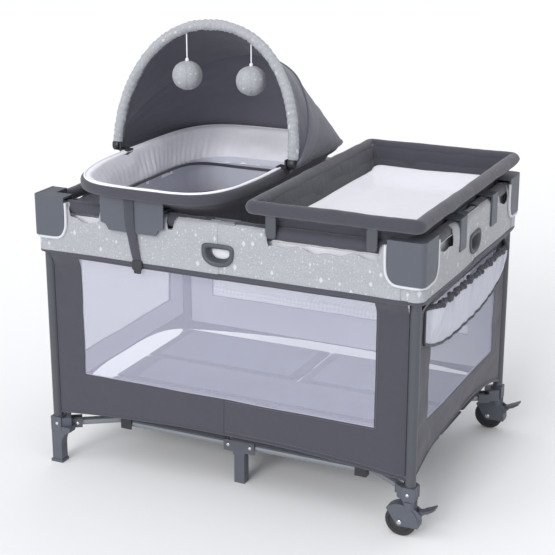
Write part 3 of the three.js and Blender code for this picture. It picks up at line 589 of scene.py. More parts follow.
def half_bezel(side, sign):
    """Half of the moulded ring round a hand port, with its dark throat behind."""
    section = [(-0.0005, 0.0005), (0.0008, 0.0022), (-0.0004, 0.0042), (-0.004, 0.0052), (-0.008, 0.0044)]
    section += [(-0.0105, 0.0015), (-0.0115, -0.005), (-0.0155, -0.011)]
    section += [(-0.0155, -0.0135), (-0.0005, -0.0135)]
    rows = []
    t = np.linspace(-np.pi / 2, np.pi / 2, 41)
    c, sn = np.cos(t), np.sin(t)
    for grow, out in section:
        n = np.where(sn > 0, 4.5, 2.3)
        tall = np.where(sn > 0, PORT["above"], PORT["below"]) + grow
        x = (PORT["half"] + grow) * np.abs(c) ** (2 / n)
        z = PORT["middle"] + tall * np.sign(sn) * np.abs(sn) ** (2 / n)
        x[0] = x[-1] = 0.0
        rows.append(on_side(side, sign * x, out, z))
    return grid("port_%s_%s" % (side, SIDES[side][1][sign]), rows, "slate_dark", close_v=True)


def half_dark(side, sign):
    """Binding under the band, corner panel and skirt, as one cloth with the net's window cut out."""
    kind, legs = SIDES[side]
    window = NET[kind]
    end = leg_at(kind) - BESIDE
    a = np.concatenate([np.linspace(-MEET, window, 52), np.linspace(window, end, 14)[1:]])
    low = np.linspace(0, 1, 13)
    mid = np.linspace(NET["bottom"], NET["top"], 42)
    top = np.array([0.565, 0.570, SEAM_Z + 0.001])

    def rows(along):
        edge = skirt_edge(kind, along)
        skirt = edge + (NET["bottom"] - edge) * low[:, None]
        rest = np.concatenate([mid[1:], top])[:, None] + 0 * along
        return np.concatenate([skirt, rest])

    keep = lambda i, j: not (12 <= i < 12 + 41 and j < 51)
    obj = panel("dark_%s_%s" % (side, legs[sign]), side, sign, a, rows, "dark", keep=keep)
    hem_a = sign * a
    hem = on_side(side, hem_a, drape(side, hem_a, skirt_edge(kind, hem_a)) - 0.0006, skirt_edge(kind, hem_a))
    parts = [obj, tube("hem", hem, 0.0022, "dark", sides=8)]
    seam_z = np.full_like(hem_a, 0.5715)
    bind = on_side(side, hem_a, drape(side, hem_a, seam_z) + 0.0006, seam_z)
    parts.append(flat_binding(bind, side, 0.0042, 0.0022))
    return join(obj.name, parts)


def flat_binding(path, side, half, height):
    """A narrow folded tape along a path on a wall, rounded in section."""
    out = on_side(side, 0.0, 1.0, 0.0) - on_side(side, 0.0, 0.0, 0.0)
    up = np.array([0, 0, 1.0])
    turn = np.linspace(0, 2 * np.pi, 12, endpoint=False)
    P = path[:, None] + half * np.sin(turn)[None, :, None] * up + height * np.cos(turn)[None, :, None] * out
    obj = grid("binding", P, "binding", close_u=True)
    cap_ends(obj, len(path), 12)
    return obj


def half_net(side, sign):
    kind, legs = SIDES[side]
    a = np.linspace(0, NET[kind], 52)
    z = np.linspace(NET["bottom"], NET["top"], 42)
    return panel("net_%s_%s" % (side, legs[sign]), side, sign, a, z, "net", lift=-0.0004)


def half_stitching(side, sign):
    kind, legs = SIDES[side]
    out = on_side(side, 0.0, 1.0, 0.0) - on_side(side, 0.0, 0.0, 0.0)
    rows = []
    line = lambda a, z: on_side(side, a, drape(side, a, z) + 0.0003, z)
    up = np.linspace(NET["bottom"] - 0.004, NET["top"], 60)
    across = sign * np.linspace(0.004, NET[kind] + 0.004, 80)
    edge_a = sign * np.linspace(0.004, leg_at(kind) - BESIDE, 90)
    rows.append(stitches("s", line(np.full_like(up, sign * (NET[kind] + 0.004)), up), out))
    rows.append(stitches("s", line(across, np.full_like(across, NET["bottom"] - 0.004)), out))
    rows.append(stitches("s", line(edge_a, skirt_edge(kind, edge_a) + 0.008), out))
    return join("stitches_%s_%s" % (side, legs[sign]), rows)


def corner_path(sign_x, sign_y, inboard=0.0):
    """Round a leg from the long wall to the end wall, as plan points and the outward direction."""
    r = 0.021 - inboard
    cx, cy = WALL_X - 0.021, WALL_Y - 0.021
    pts, outs = [], []
    for a in np.linspace(LEG_X - RIGID, cx, 6)[:-1]:
        pts.append((a, WALL_Y - inboard)), outs.append((0, 1))
    for t in np.linspace(np.pi / 2, 0, 11):
        pts.append((cx + r * math.cos(t), cy + r * math.sin(t)))
        outs.append((math.cos(t), math.sin(t)))
    for b in np.linspace(cy, LEG_Y - RIGID, 6)[1:]:
        pts.append((WALL_X - inboard, b)), outs.append((1, 0))
    s = np.array([sign_x, sign_y])
    return np.array(pts) * s + np.array([CX, CY]), np.array(outs) * s


def corner_cloth(corner):
    sx, sy = CORNERS[corner]
    plan, out = corner_path(sx, sy)
    band_rows = np.linspace(SEAM_Z - 0.001, 0.640, 8)
    B = np.zeros((len(band_rows), len(plan), 3))
    B[..., :2] = plan[None]
    B[..., 2] = band_rows[:, None]
    band = thicken(grid("corner_band_" + corner, B, "print"), 0.0012)
    inner_x, inner_y = LEG_X - BESIDE, LEG_Y - BESIDE
    turn_in = [(inner_x, WALL_Y - INSET - 0.001), (inner_x, LEG_Y), (inner_x + 0.0004, inner_y + 0.003),
               (inner_x + 0.003, inner_y + 0.0004), (LEG_X, inner_y), (WALL_X - INSET - 0.001, inner_y)]
    heights = np.linspace(0.150, SEAM_Z, 24)
    L = np.array([[(CX + sx * x, CY + sy * y, z) for x, y in turn_in] for z in heights])
    lip = thicken(grid("corner_lip_" + corner, L, "dark"), 0.0010, 0.0)
    ride_soft(lip, "leg_" + corner)
    seam = np.concatenate([plan - out * 0.0008, np.full((len(plan), 1), 0.5715)], 1)
    turn = np.linspace(0, 2 * np.pi, 12, endpoint=False)
    out3 = np.concatenate([out, np.zeros((len(out), 1))], 1)
    tape = seam[:, None] + 0.0042 * np.sin(turn)[None, :, None] * np.array([0, 0, 1.0])
    tape = tape + 0.0022 * np.cos(turn)[None, :, None] * out3[:, None]
    bound = grid("corner_binding_" + corner, tape, "binding", close_u=True)
    cap_ends(bound, len(plan), 12)
    ride_soft(bound, "leg_" + corner)
    ride_soft(band, "leg_" + corner)
    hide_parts("wall_" + corner)


def ride_soft(obj, body):
    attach(obj, body)
    return obj


LINING_TOP = 0.664
LINING_LOW = {"long": 0.168, "end": 0.194}  # just above the skirt's edge


def half_lining(side, sign):
    """Pale inner cloth behind the corner panel, the skirt's top and the band."""
    kind, legs = SIDES[side]
    beside = np.linspace(NET[kind], leg_at(kind) - 0.020, 8)[1:]
    a = np.concatenate([np.linspace(0, NET[kind] + 0.001, 40), beside])
    below = np.linspace(LINING_LOW[kind], NET["bottom"], 5)
    within = np.linspace(NET["bottom"], NET["top"], 36)[1:]
    z = np.concatenate([below, within, np.linspace(NET["top"], LINING_TOP, 10)[1:]])
    low = np.minimum(z, 0.50)[:, None] + 0 * a
    aa = sign * a[None, :] + 0 * low
    P = on_side(side, aa, drape(side, aa, low) - 0.005, z[:, None] + 0 * aa)
    keep = lambda i, j: not (4 <= i < 39 and j < 39)
    return grid("lining_%s_%s" % (side, legs[sign]), P, "white", keep=keep, uv=(aa, z[:, None] + 0 * aa))


walls = {}
for side, (kind, legs) in SIDES.items():
    for sign, corner in legs.items():
        made = {
            "band": half_band(side, sign),
            "dark": half_dark(side, sign),
            "net": half_net(side, sign),
            "bezel": half_bezel(side, sign),
            "stitching": half_stitching(side, sign),
            "lining": half_lining(side, sign),
        }
        thicken(made["dark"], 0.0012)
        thicken(made["band"], 0.0012)
        for key, obj in made.items():
            fold_with(obj, side, sign, RIGID if key in ("band", "bezel") else BESIDE)
        walls[side, sign] = made
for corner in CORNERS:
    corner_cloth(corner)


# ------------------------------------------------------------------ padded rails
def rail_sleeve(side, sign):
    kind, legs = SIDES[side]
    corner = legs[sign]
    letter = "x" if kind == "long" else "y"
    reach = leg_at(kind) - 0.058
    a = sign * np.linspace(0.036, reach, 120 if kind == "long" else 80)
    sign_x, sign_y = CORNERS[corner]
    height = np.full_like(a, RAIL_Z)
    if kind == "long":
        path = np.stack([CX + a, np.full_like(a, CY + sign_y * LEG_Y), height], -1)
    else:
        path = np.stack([np.full_like(a, CX + sign_x * LEG_X), CY + a, height], -1)
    rough = lambda s, t: 0.0009 * noise2(s / 0.022 + 1, np.cos(t) * 1.3 + 4, 6)
    obj = tube("rail_sleeve_%s_%s" % (side, corner), path, 0.0158, "dark", sides=20, ripple=rough)
    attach(obj, "rail_%s_%s" % (letter, corner))
    return obj


for side, (kind, legs) in SIDES.items():
    for sign in legs:
        rail_sleeve(side, sign)


# ------------------------------------------------------------------ bassinet
RIM_LO, RIM_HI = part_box("bassinet_rim")
BX, BY = (RIM_LO.x + RIM_HI.x) / 2, (RIM_LO.y + RIM_HI.y) / 2
RIM_A, RIM_B = (RIM_HI.x - RIM_LO.x) / 2, (RIM_HI.y - RIM_LO.y) / 2
RIM_TOP, RIM_LOW = RIM_HI.z, RIM_LO.z
TUB_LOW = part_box("bassinet_tub")[0].z
SUPER = 4.2  # roundness of the bassinet's plan


def plan_round(a, b, t):
    c, s = np.cos(t), np.sin(t)
    x = a * np.sign(c) * np.abs(c) ** (2 / SUPER)
    y = b * np.sign(s) * np.abs(s) ** (2 / SUPER)
    return x, y


def even_turns(a, b, count):
    """Angles that step evenly along a plan of half sizes a and b."""
    t = np.linspace(0, 2 * np.pi, 4001)
    x, y = plan_round(a, b, t)
    s = np.concatenate([[0], np.cumsum(np.hypot(np.diff(x), np.diff(y)))])
    return np.interp(np.linspace(0, s[-1], count, endpoint=False), s, t), s[-1]


def sag(y, z):
    """How far the cloth at the bassinet's two ends hangs below its sides."""
    drop = np.where(y < 0, 0.010, 0.015) * np.abs(y / RIM_B) ** 3
    return -drop * smooth((z - 0.68) / 0.06)


def bowl(name, rows, mat, pleat=0.0, count=0, turns=220, flip=False, soft=0.0, seed=0):
    """A cloth wall lofted through rings of (half x, half y, z, share of the pleats)."""
    t, _ = even_turns(RIM_A, RIM_B, turns)
    P = []
    for a, b, z, share in rows:
        x, y = plan_round(a, b, t)
        r = np.hypot(x, y)
        wave = 0.5 + 0.5 * np.cos(np.arange(turns) * 2 * np.pi * count / turns)
        uneven = 0.75 + 0.5 * noise2(np.arange(turns) / 7.0, np.full(turns, z * 30), seed)
        puff = soft * noise2(np.arange(turns) / 13.0, np.full(turns, z / 0.035), seed + 1)
        push = 1 + (pleat * share * wave * uneven + puff) / r
        P.append(np.stack([BX + x * push, BY + y * push, z + sag(y, z)], -1))
    return grid(name, P, mat, close_u=True, flip=flip)


def spaced_rows(keys, per):
    keys = np.asarray(keys, float)
    return [tuple(p) for p in spline(keys, per)]


def bassinet_rim():
    t, _ = even_turns(RIM_A, RIM_B, 260)
    w, top, low = 0.0205, RIM_TOP, RIM_LOW
    mid_z, half_z = (top + low) / 2, (top - low) / 2
    turn = np.linspace(0, 2 * np.pi, 20, endpoint=False)
    n = 3.0
    inset = w / 2 - (w / 2 + 0.0015) * np.sign(np.cos(turn)) * np.abs(np.cos(turn)) ** (2 / n)
    height = mid_z + half_z * np.sign(np.sin(turn)) * np.abs(np.sin(turn)) ** (2 / n)
    P = np.zeros((len(turn), len(t), 3))
    for i, (d, z) in enumerate(zip(inset, height)):
        x, y = plan_round(RIM_A - d, RIM_B - d, t)
        r = np.hypot(x, y)
        soft = 0.0009 * noise2(np.arange(len(t)) / 5.0, np.full(len(t), i / 3.0), 12)
        P[i] = np.stack([BX + x * (1 + soft / r), BY + y * (1 + soft / r), z + 0.5 * soft + sag(y, z)], -1)
    obj = grid("rim_cover", P, "dark", close_u=True, close_v=True, flip=True)
    ride_soft(obj, "bassinet")
    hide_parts("bassinet_rim")


def ring_cord(name, a, b, z, radius, mat, body="bassinet", dip=0.0):
    t, _ = even_turns(a, b, 240)
    x, y = plan_round(a, b, t)
    path = np.stack([BX + x, BY + y, z + dip * np.cos(2 * t) + sag(y, z)], -1)
    return ride_soft(tube(name, path, radius, mat, sides=8, closed=True), body)


def make_bassinet():
    bassinet_rim()
    inner = 0.0075
    ring_cord("rim_piping", RIM_A - inner, RIM_B - inner, RIM_TOP + 0.0012, 0.0028, "white")
    outer = spaced_rows(
        [
            (RIM_A - 0.010, RIM_B - 0.016, RIM_LOW + 0.003, 0.0),
            (RIM_A - 0.018, RIM_B - 0.046, 0.727, 0.25),
            (0.206, 0.317, 0.704, 0.7),
            (0.203, 0.306, 0.655, 1.0),
            (0.198, 0.296, 0.600, 0.9),
            (0.190, 0.286, TUB_LOW + 0.004, 0.4),
        ],
        7,
    )
    obj = bowl("tub_outside", outer, "dark", pleat=0.0028, count=62, soft=0.0015, seed=3)
    ride_soft(obj, "bassinet")
    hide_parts("bassinet_tub")
    base = [(0.190 * s, 0.286 * s, TUB_LOW + 0.002, 0.0) for s in (1, 0.97, 0.6, 0.25, 0.01)]
    bottom = bowl("tub_bottom", base, "dark", turns=120)
    ride_soft(bottom, "bassinet")
    liner = spaced_rows(
        [
            (RIM_A - 0.0080, RIM_B - 0.0080, RIM_TOP + 0.0012, 0.0),
            (RIM_A - 0.0200, RIM_B - 0.0230, RIM_TOP - 0.001, 0.15),
            (RIM_A - 0.0255, RIM_B - 0.040, 0.750, 0.6),
            (0.198, 0.320, 0.722, 1.0),
            (0.1945, 0.297, 0.690, 0.8),
            (0.1930, 0.291, 0.672, 0.25),
        ],
        8,
    )
    cloth = bowl("liner", liner, "white", pleat=-0.0013, count=80, turns=480, flip=True, soft=0.0035, seed=8)
    ride_soft(cloth, "bassinet")
    ring_cord("liner_binding", 0.1885, 0.2870, 0.674, 0.0040, "binding", dip=0.012)
    net_rows = spaced_rows(
        [(0.1935, 0.2920, 0.690, 0), (0.191, 0.288, 0.645, 1), (0.188, 0.284, 0.596, 0)], 8
    )
    net = bowl("liner_net", net_rows, "fine_net", pleat=-0.0012, count=40, flip=True, seed=5)
    ride_soft(net, "bassinet")


make_bassinet()


# ------------------------------------------------------------------ stuffed pieces
def inflate(obj, pressure, voxel, frames=20):
    """Fills a closed skin so that it takes the soft shape of a stuffed piece."""
    mod = obj.modifiers.new("remesh", "REMESH")
    mod.mode = "VOXEL"
    mod.voxel_size = voxel
    apply_modifiers(obj)
    rest = np.array([v.co for v in obj.data.vertices])
    cloth = obj.modifiers.new("cloth", "CLOTH")
    cloth.settings.quality = 6
    cloth.settings.mass = 0.3
    cloth.settings.tension_stiffness = 25
    cloth.settings.compression_stiffness = 25
    cloth.settings.bending_stiffness = 0.4
    cloth.settings.use_pressure = True
    cloth.settings.uniform_pressure_force = pressure
    cloth.settings.effector_weights.gravity = 0
    cloth.point_cache.frame_start, cloth.point_cache.frame_end = 1, frames
    scene = bpy.context.scene
    for f in range(1, frames + 1):
        scene.frame_set(f)
    apply_modifiers(obj)
    scene.frame_set(1)
    now = np.array([v.co for v in obj.data.vertices])
    return rest, now


def apply_modifiers(obj):
    graph = bpy.context.evaluated_depsgraph_get()
    made = bpy.data.meshes.new_from_object(obj.evaluated_get(graph))
    obj.modifiers.clear()
    obj.data = made


def settle(obj, rest, now, most):
    """Keeps what the filling did within a small distance of the cut shape."""
    move = now - rest
    size = np.linalg.norm(move, axis=1)[:, None]
    now = rest + move * np.minimum(1, most / np.maximum(size, 1e-9))
    obj.data.vertices.foreach_set("co", now.astype(np.float32).ravel())
    obj.data.update()
    obj.data.polygons.foreach_set("use_smooth", [True] * len(obj.data.polygons))


def smooth_uv(obj, axes=(0, 1)):
    """Flat UVs in metres from two of the row's axes."""
    layer = obj.data.uv_layers.get("UVMap") or obj.data.uv_layers.new(name="UVMap")
    co = np.array([v.co for v in obj.data.vertices])
    loops = np.array([l.vertex_index for l in obj.data.loops])
    layer.data.foreach_set("uv", co[loops][:, list(axes)].astype(np.float32).ravel())


def pillow(name, outline, low, high, mat, edge=0.35, rows=7):
    """A closed pad: a plan outline, swelling from its edge seam to its full height."""
    outline = np.asarray(outline, float)
    centre = outline.mean(0)
    mid = low + (high - low) * 0.5
    P = []
    for k in range(rows + 1):
        t = k / rows
        shrink = 0.03 + 0.97 * math.sin(t * math.pi / 2)
        z = low + (mid - low) * (1 - math.cos(t * math.pi / 2)) ** (1 / (1 + edge))
        P.append((shrink, z))
    for k in range(rows - 1, -1, -1):
        t = k / rows
        shrink = 0.03 + 0.97 * math.sin(t * math.pi / 2)
        z = high - (high - mid) * (1 - math.cos(t * math.pi / 2)) ** (1 / (1 + edge))
        P.append((shrink, z))
    rings = [
        np.concatenate([centre + (outline - centre) * s, np.full((len(outline), 1), z)], 1) for s, z in P
    ]
    obj = grid(name, rings, mat, close_u=True)
    cap_ends(obj, len(rings), len(outline))
    return obj


def bassinet_pad():
    lo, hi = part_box("bassinet_mattress")
    a, b = (hi.x - lo.x) / 2, (hi.y - lo.y) / 2
    t, _ = even_turns(a, b, 120)
    x, y = plan_round(a, b, t)
    obj = pillow("bassinet_pad", np.stack([BX + x, BY + y], -1), lo.z, hi.z, "pad")
    rest, now = inflate(obj, 3.0, 0.006)
    settle(obj, rest, now, 0.004)
    smooth_uv(obj)
    ride_soft(obj, "bassinet")
    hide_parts("bassinet_mattress")


bassinet_pad()


# ------------------------------------------------------------------ canopy
FOLD = next(j for j in frame["joints"] if j["name"] == "canopy_fold")
BOW_Y, BOW_Z = FOLD["pos_m"][1], FOLD["pos_m"][2]
BOW_R = 0.011
FRONT = {"half": 0.247, "height": 0.319, "tilt": math.radians(77.3), "full": 0.927}
REAR = {"half": 0.263, "height": 0.359, "tilt": math.radians(34.8), "full": 1.08}


def bow_points(t, bow, grow=0.0):
    c, s = np.cos(t), np.clip(np.sin(t), 0, 1)
    up = (bow["height"] + grow) * s ** bow["full"]
    across = (bow["half"] + grow) * np.sign(c) * np.abs(c) ** bow["full"]
    return np.stack(
        [BX + across, BOW_Y + up * math.cos(bow["tilt"]), BOW_Z + up * math.sin(bow["tilt"])], -1
    )


def make_bow():
    t = np.linspace(0.02, math.pi - 0.02, 420)
    ruck = lambda s, a: (
        0.0011 * np.sin(s * 420 + 2.2 * noise2(s / 0.03, a * 0 + 3, 2) + np.sin(a) * 0.8)
        * (0.6 + 0.4 * noise2(s / 0.02, a / 0.9 + 2, 5))
        + 0.0012 * noise2(s / 0.016, a / 0.8 + 5, 7)
    )
    obj = tube("bow_sleeve", bow_points(t, FRONT), 0.0128, "print", sides=24, ripple=ruck)
    ride_soft(obj, "canopy")
    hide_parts("canopy_bow")
    inner = bow_points(t[4:-4], FRONT, -0.0138) + np.array([0, 0.004, 0])
    piping = tube("bow_piping", inner, 0.0021, "binding", sides=8)
    ride_soft(piping, "canopy")
    for s in (-1, 1):
        x = BX + s * FRONT["half"]
        path = [(x - s * 0.009, BOW_Y, BOW_Z), (x + s * 0.0085, BOW_Y, BOW_Z)]
        knuckle = tube("bow_end_" + ("right" if s > 0 else "left"), path, 0.0132, "black", sides=28)
        knuckle.modifiers.new("edge", "BEVEL").width = 0.0015
        ride_soft(knuckle, "canopy")


def hood_lines(t):
    """Lines across the hood from right to left: front bow, rear bow, belly of the back, rim."""
    front = bow_points(t, FRONT, 0.002) + np.array([0, BOW_R + 0.001, 0])
    rear = bow_points(t, REAR)
    x, y = plan_round(RIM_A + 0.010, RIM_B + 0.009, t)
    low = np.stack([BX + x, BY + y, np.full_like(x, RIM_TOP - 0.007)], -1)
    low[:, 2] += sag(y, RIM_TOP)
    belly = (rear + low) / 2 + np.array([0, 0.006, 0.004]) * np.sin(t)[:, None]
    return front, rear, belly, low


def make_hood():
    t = np.linspace(0.02, math.pi - 0.02, 126)
    keys = hood_lines(t)
    rows = []
    for i in range(18):
        u = i / 18
        p = keys[0] * (1 - u) + keys[1] * u
        taut = 0.006 * math.sin(math.pi * u)
        rows.append(p - taut * unit(p - np.array([BX, BOW_Y + 0.05, BOW_Z])))
    back = [spline(np.stack([keys[1][j], keys[2][j], keys[3][j]]), 16) for j in range(len(t))]
    back = np.stack(back, 1)
    for i, p in enumerate(back):
        rows.append(p)
    P = np.array(rows)
    for side in (0, -1):
        edge_line = P[:, side]
        foot = edge_line.copy()
        foot[:, 0] = BX + np.sign(edge_line[:, 0] - BX) * (RIM_A + 0.008)
        foot[:, 1] = np.maximum(foot[:, 1], BOW_Y + 0.012)
        foot[:, 2] = RIM_TOP - 0.012
        steps = [edge_line + (foot - edge_line) * k / 5 for k in range(1, 6)]
        drop = [q[:, None] for q in steps]
        P = np.concatenate([P] + drop if side else drop[::-1] + [P], 1)
    n, m = P.shape[:2]
    I, J = np.meshgrid(np.arange(n), np.arange(m), indexing="ij")
    centre = np.array([BX, BOW_Y + 0.06, BOW_Z])
    folds = 0.0025 * noise2(I / 6.0 + 3, J / 11.0, 21) + 0.0016 * noise2(I / 2.2, J / 15.0 + 4, 23)
    edge = smooth(I / 3.0) * smooth((n - 1 - I) / 3.0) * smooth(J / 4.0) * smooth((m - 1 - J) / 4.0)
    P = P + unit(P - centre) * (folds * edge)[..., None]
    obj = grid("hood", P, "hood", flip=True)
    thicken(obj, 0.0012, 0.0)
    parts = {
        "hood_rear_seam": tube("s", P[18] + 0.001 * unit(P[18] - centre), 0.0032, "hood", sides=10),
        "hood_edge": tube("s", P[0, 5:-5], 0.0026, "binding", sides=8),
        "hood_hem": tube("s", P[-1], 0.0028, "hood", sides=8),
    }
    for name, part in {"hood": obj, **parts}.items():
        part.name = name
        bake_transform(part)
    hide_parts("canopy_hood")


def unit(v):
    return v / np.linalg.norm(v, axis=-1)[..., None]


def make_toys():
    for name in ("toy_left", "toy_right"):
        lo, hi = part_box(name)
        r = (hi.x - lo.x) / 2
        x, y, z = (lo.x + hi.x) / 2, (lo.y + hi.y) / 2, lo.z + r
        lat = np.linspace(-math.pi / 2 + 0.06, math.pi / 2 - 0.06, 40)[:, None]
        lon = np.linspace(0, 2 * np.pi, 72, endpoint=False)[None, :]
        gore = np.abs(np.sin(lon * 3))
        rad = r * (0.955 + 0.045 * gore**0.5 * np.cos(lat)) + 0.0006 * noise2(lon * 3, lat * 3, 31)
        ring = rad * np.cos(lat)
        up = z + rad * np.sin(lat) + 0 * lon
        P = np.stack([x + ring * np.cos(lon), y + ring * np.sin(lon), up], -1)
        ball = grid(name + "_ball", P, "print", close_u=True)
        cap_ends(ball, 40, 72)
        ride_soft(ball, name)
        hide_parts(name)
        top = hi.z
        path = np.array([[x, y, h] for h in np.linspace(top, z + r * 0.94, 12)])
        string = tube(name + "_string", path, 0.0017, "white", sides=8)
        ride_soft(string, name)
        loop = path[-1] + np.array([[0, 0, -0.003], [0, 0, 0.007]])
        tab = tube(name + "_loop", loop, 0.0042, "white", sides=12)
        ride_soft(tab, name)


make_bow()
make_hood()
make_toys()


# ------------------------------------------------------------------ changer
FRAME_LO, FRAME_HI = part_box("changer_frame")
ROLL_R = 0.0158
ROLL_Z = FRAME_HI.z - ROLL_R
ROLL_TURN = 0.009  # bend of the roll's line at a corner
PAN_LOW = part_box("changer_pad")[0].z


def round_box(x0, x1, y0, y1, r, per=10, straight=26):
    """A rectangle's outline with rounded corners, with points along its straight sides too."""
    pts = []
    corners = [(x1 - r, y1 - r, 0), (x0 + r, y1 - r, 90), (x0 + r, y0 + r, 180), (x1 - r, y0 + r, 270)]

    def on_arc(cx, cy, angle):
        turn = math.radians(angle)
        return cx + r * math.cos(turn), cy + r * math.sin(turn)

    for k, (cx, cy, first) in enumerate(corners):
        arc = [on_arc(cx, cy, first + 90 * i / per) for i in range(per + 1)]
        ends = list(zip(arc[-1], on_arc(*corners[(k + 1) % 4])))
        pts += arc
        pts += [tuple(p + (q - p) * i / straight for p, q in ends) for i in range(1, straight)]
    return np.array(pts)


def make_changer():
    x0, x1 = FRAME_LO.x + ROLL_R, FRAME_HI.x - ROLL_R
    y0, y1 = FRAME_LO.y + ROLL_R, FRAME_HI.y - ROLL_R
    line = round_box(x0, x1, y0, y1, ROLL_TURN)
    path = np.concatenate([line, np.full((len(line), 1), ROLL_Z)], 1)
    rough = lambda s, t: 0.0011 * noise2(s / 0.045, t / 1.1, 41) + 0.0006 * noise2(s / 0.013, t / 0.8, 43)
    roll = tube("changer_roll", path, ROLL_R, "dark", sides=28, closed=True, ripple=rough)
    ride_soft(roll, "changer")
    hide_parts("changer_frame")
    middle_xy = np.array([(x0 + x1) / 2, (y0 + y1) / 2])
    levels = [
        (0.006, ROLL_Z + 0.013, 0.0), (0.0165, ROLL_Z - 0.002, 0.3), (0.021, ROLL_Z - 0.02, 0.8),
        (0.024, ROLL_Z - 0.042, 1.0), (0.027, PAN_LOW + 0.010, 0.7), (0.030, PAN_LOW + 0.001, 0.0),
    ]
    rings = []
    for inset, z, share in spline(levels, 5):
        ring = round_box(x0 + inset, x1 - inset, y0 + inset, y1 - inset, ROLL_TURN + inset * 0.4)
        s = np.arange(len(ring))
        push = share * 0.0030 * noise2(s / 2.6, np.full(len(s), z / 0.09), 47)
        ring = ring + unit(middle_xy - ring) * push[:, None]
        rings.append(np.concatenate([ring, np.full((len(ring), 1), z)], 1))
    sides = grid("changer_lining", rings, "dark", close_u=True, flip=True)
    ride_soft(sides, "changer")
    under = []
    skirt = [(0.006, ROLL_Z - 0.014), (0.024, ROLL_Z - 0.032)]
    skirt += [(0.032, PAN_LOW + 0.006), (0.038, PAN_LOW - 0.004)]
    for inset, z in skirt:
        ring = round_box(x0 + inset, x1 - inset, y0 + inset, y1 - inset, 0.02)
        under.append(np.concatenate([ring, np.full((len(ring), 1), z)], 1))
    for share in (0.7, 0.35, 0.02):
        ring = middle_xy + (under[3][:, :2] - middle_xy) * share
        under.append(np.concatenate([ring, np.full((len(ring), 1), PAN_LOW - 0.0045)], 1))
    below = grid("changer_underside", under, "dark", close_u=True)
    ride_soft(below, "changer")
    clip_lo, clip_hi = ROLL_Z - 0.068, ROLL_Z - 0.004
    for u in (0.136, 0.380):
        for s in (-1, 1):
            body = rounded_plate(
                "changer_clip_%s_%d" % ("front" if s < 0 else "back", round(u * 1000)),
                (CX + u, CY + s * (LEG_Y + 0.0234), (clip_lo + clip_hi) / 2),
                (0.013, 0.0022, (clip_hi - clip_lo) / 2), "slate_dark",
            )
            ride_soft(body, "changer")


def rounded_plate(name, centre, half, mat, bevel=0.0018):
    """A moulded plate: a block with generous rounded edges."""
    cx, cy, cz = centre
    hx, hy, hz = half
    t = np.linspace(0, 2 * np.pi, 40, endpoint=False)
    n = 5.0
    x = hx * np.sign(np.cos(t)) * np.abs(np.cos(t)) ** (2 / n)
    z = hz * np.sign(np.sin(t)) * np.abs(np.sin(t)) ** (2 / n)
    rings = []
    for dy, inset in [(-hy, bevel), (-hy + bevel * 0.6, 0.0), (hy - bevel * 0.6, 0.0), (hy, bevel)]:
        rings.append(
            np.stack([cx + x * (1 - inset / hx), np.full_like(x, cy + dy), cz + z * (1 - inset / hz)], -1)
        )
    obj = grid(name, rings, mat, close_u=True)
    cap_ends(obj, len(rings), len(t))
    return obj


def make_changer_pad():
    lo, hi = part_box("changer_pad")
    wide = 0.006
    outline = round_box(lo.x - wide, hi.x + wide, lo.y - wide, hi.y + wide, 0.022, straight=12)
    obj = pillow("changer_mat", outline, lo.z, hi.z - 0.004, "pad", edge=0.8, rows=8)
    rest, now = inflate(obj, 3.0, 0.006)
    settle(obj, rest, now, 0.005)
    co = np.array([v.co for v in obj.data.vertices])
    u = (co[:, 0] - (lo.x + hi.x) / 2) / ((hi.x - lo.x) / 2)
    v = (co[:, 1] - (lo.y + hi.y) / 2) / ((hi.y - lo.y) / 2)
    top = co[:, 2] > (lo.z + hi.z) / 2
    raised = 0.030 * smooth((np.maximum(np.abs(u) - 0.10, np.abs(v) * 1.02) - 0.45) / 0.45)
    co[:, 2] = np.maximum(co[:, 2], lo.z + 0.001)
    raised += 0.0016 * noise2(co[:, 0] / 0.05, co[:, 1] / 0.09, 51)
    co[:, 2] += np.where(top, raised - 0.004, 0)
    obj.data.vertices.foreach_set("co", co.astype(np.float32).ravel())
    obj.data.update()
    smooth_uv(obj)
    ride_soft(obj, "changer")
    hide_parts("changer_pad")


make_changer()
make_changer_pad()


# ------------------------------------------------------------------ floor pad
FLOOR_LO, FLOOR_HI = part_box("floor_pad")
FLOOR_STRIP = 0.085  # half width of the middle strip
FLOOR_SEAM = 0.0012


def floor_piece(name, x, y, body):
    """A padded panel of the floor, riding on the body it is given."""
    outline = round_box(x[0], x[1], y[0], y[1], 0.012, straight=14)
    obj = pillow(name, outline, FLOOR_LO.z + 0.001, FLOOR_HI.z, "floor", edge=0.25, rows=6)
    smooth_uv(obj)
    obj.data.materials.append(M["dark"])
    edge_z = FLOOR_HI.z - 0.25 * (FLOOR_HI.z - FLOOR_LO.z)
    for face in obj.data.polygons:
        face.material_index = 0 if face.center.z > edge_z else 1
    ride_soft(obj, body)
    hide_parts("floor_pad")
    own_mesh(obj)


def make_floor():
    x = (FLOOR_LO.x, FLOOR_HI.x)
    floor_piece("floor_middle", x, (CY - FLOOR_STRIP, CY + FLOOR_STRIP), "hub")
    for corner, (sx, sy) in CORNERS.items():
        px = sorted((CX + sx * FLOOR_SEAM, FLOOR_HI.x if sx > 0 else FLOOR_LO.x))
        py = sorted((CY + sy * (FLOOR_STRIP + FLOOR_SEAM), FLOOR_HI.y if sy > 0 else FLOOR_LO.y))
        floor_piece("floor_" + corner, px, py, "leg_" + corner)


make_floor()


# ------------------------------------------------------------------ side pocket
POCKET_TOP = 0.541


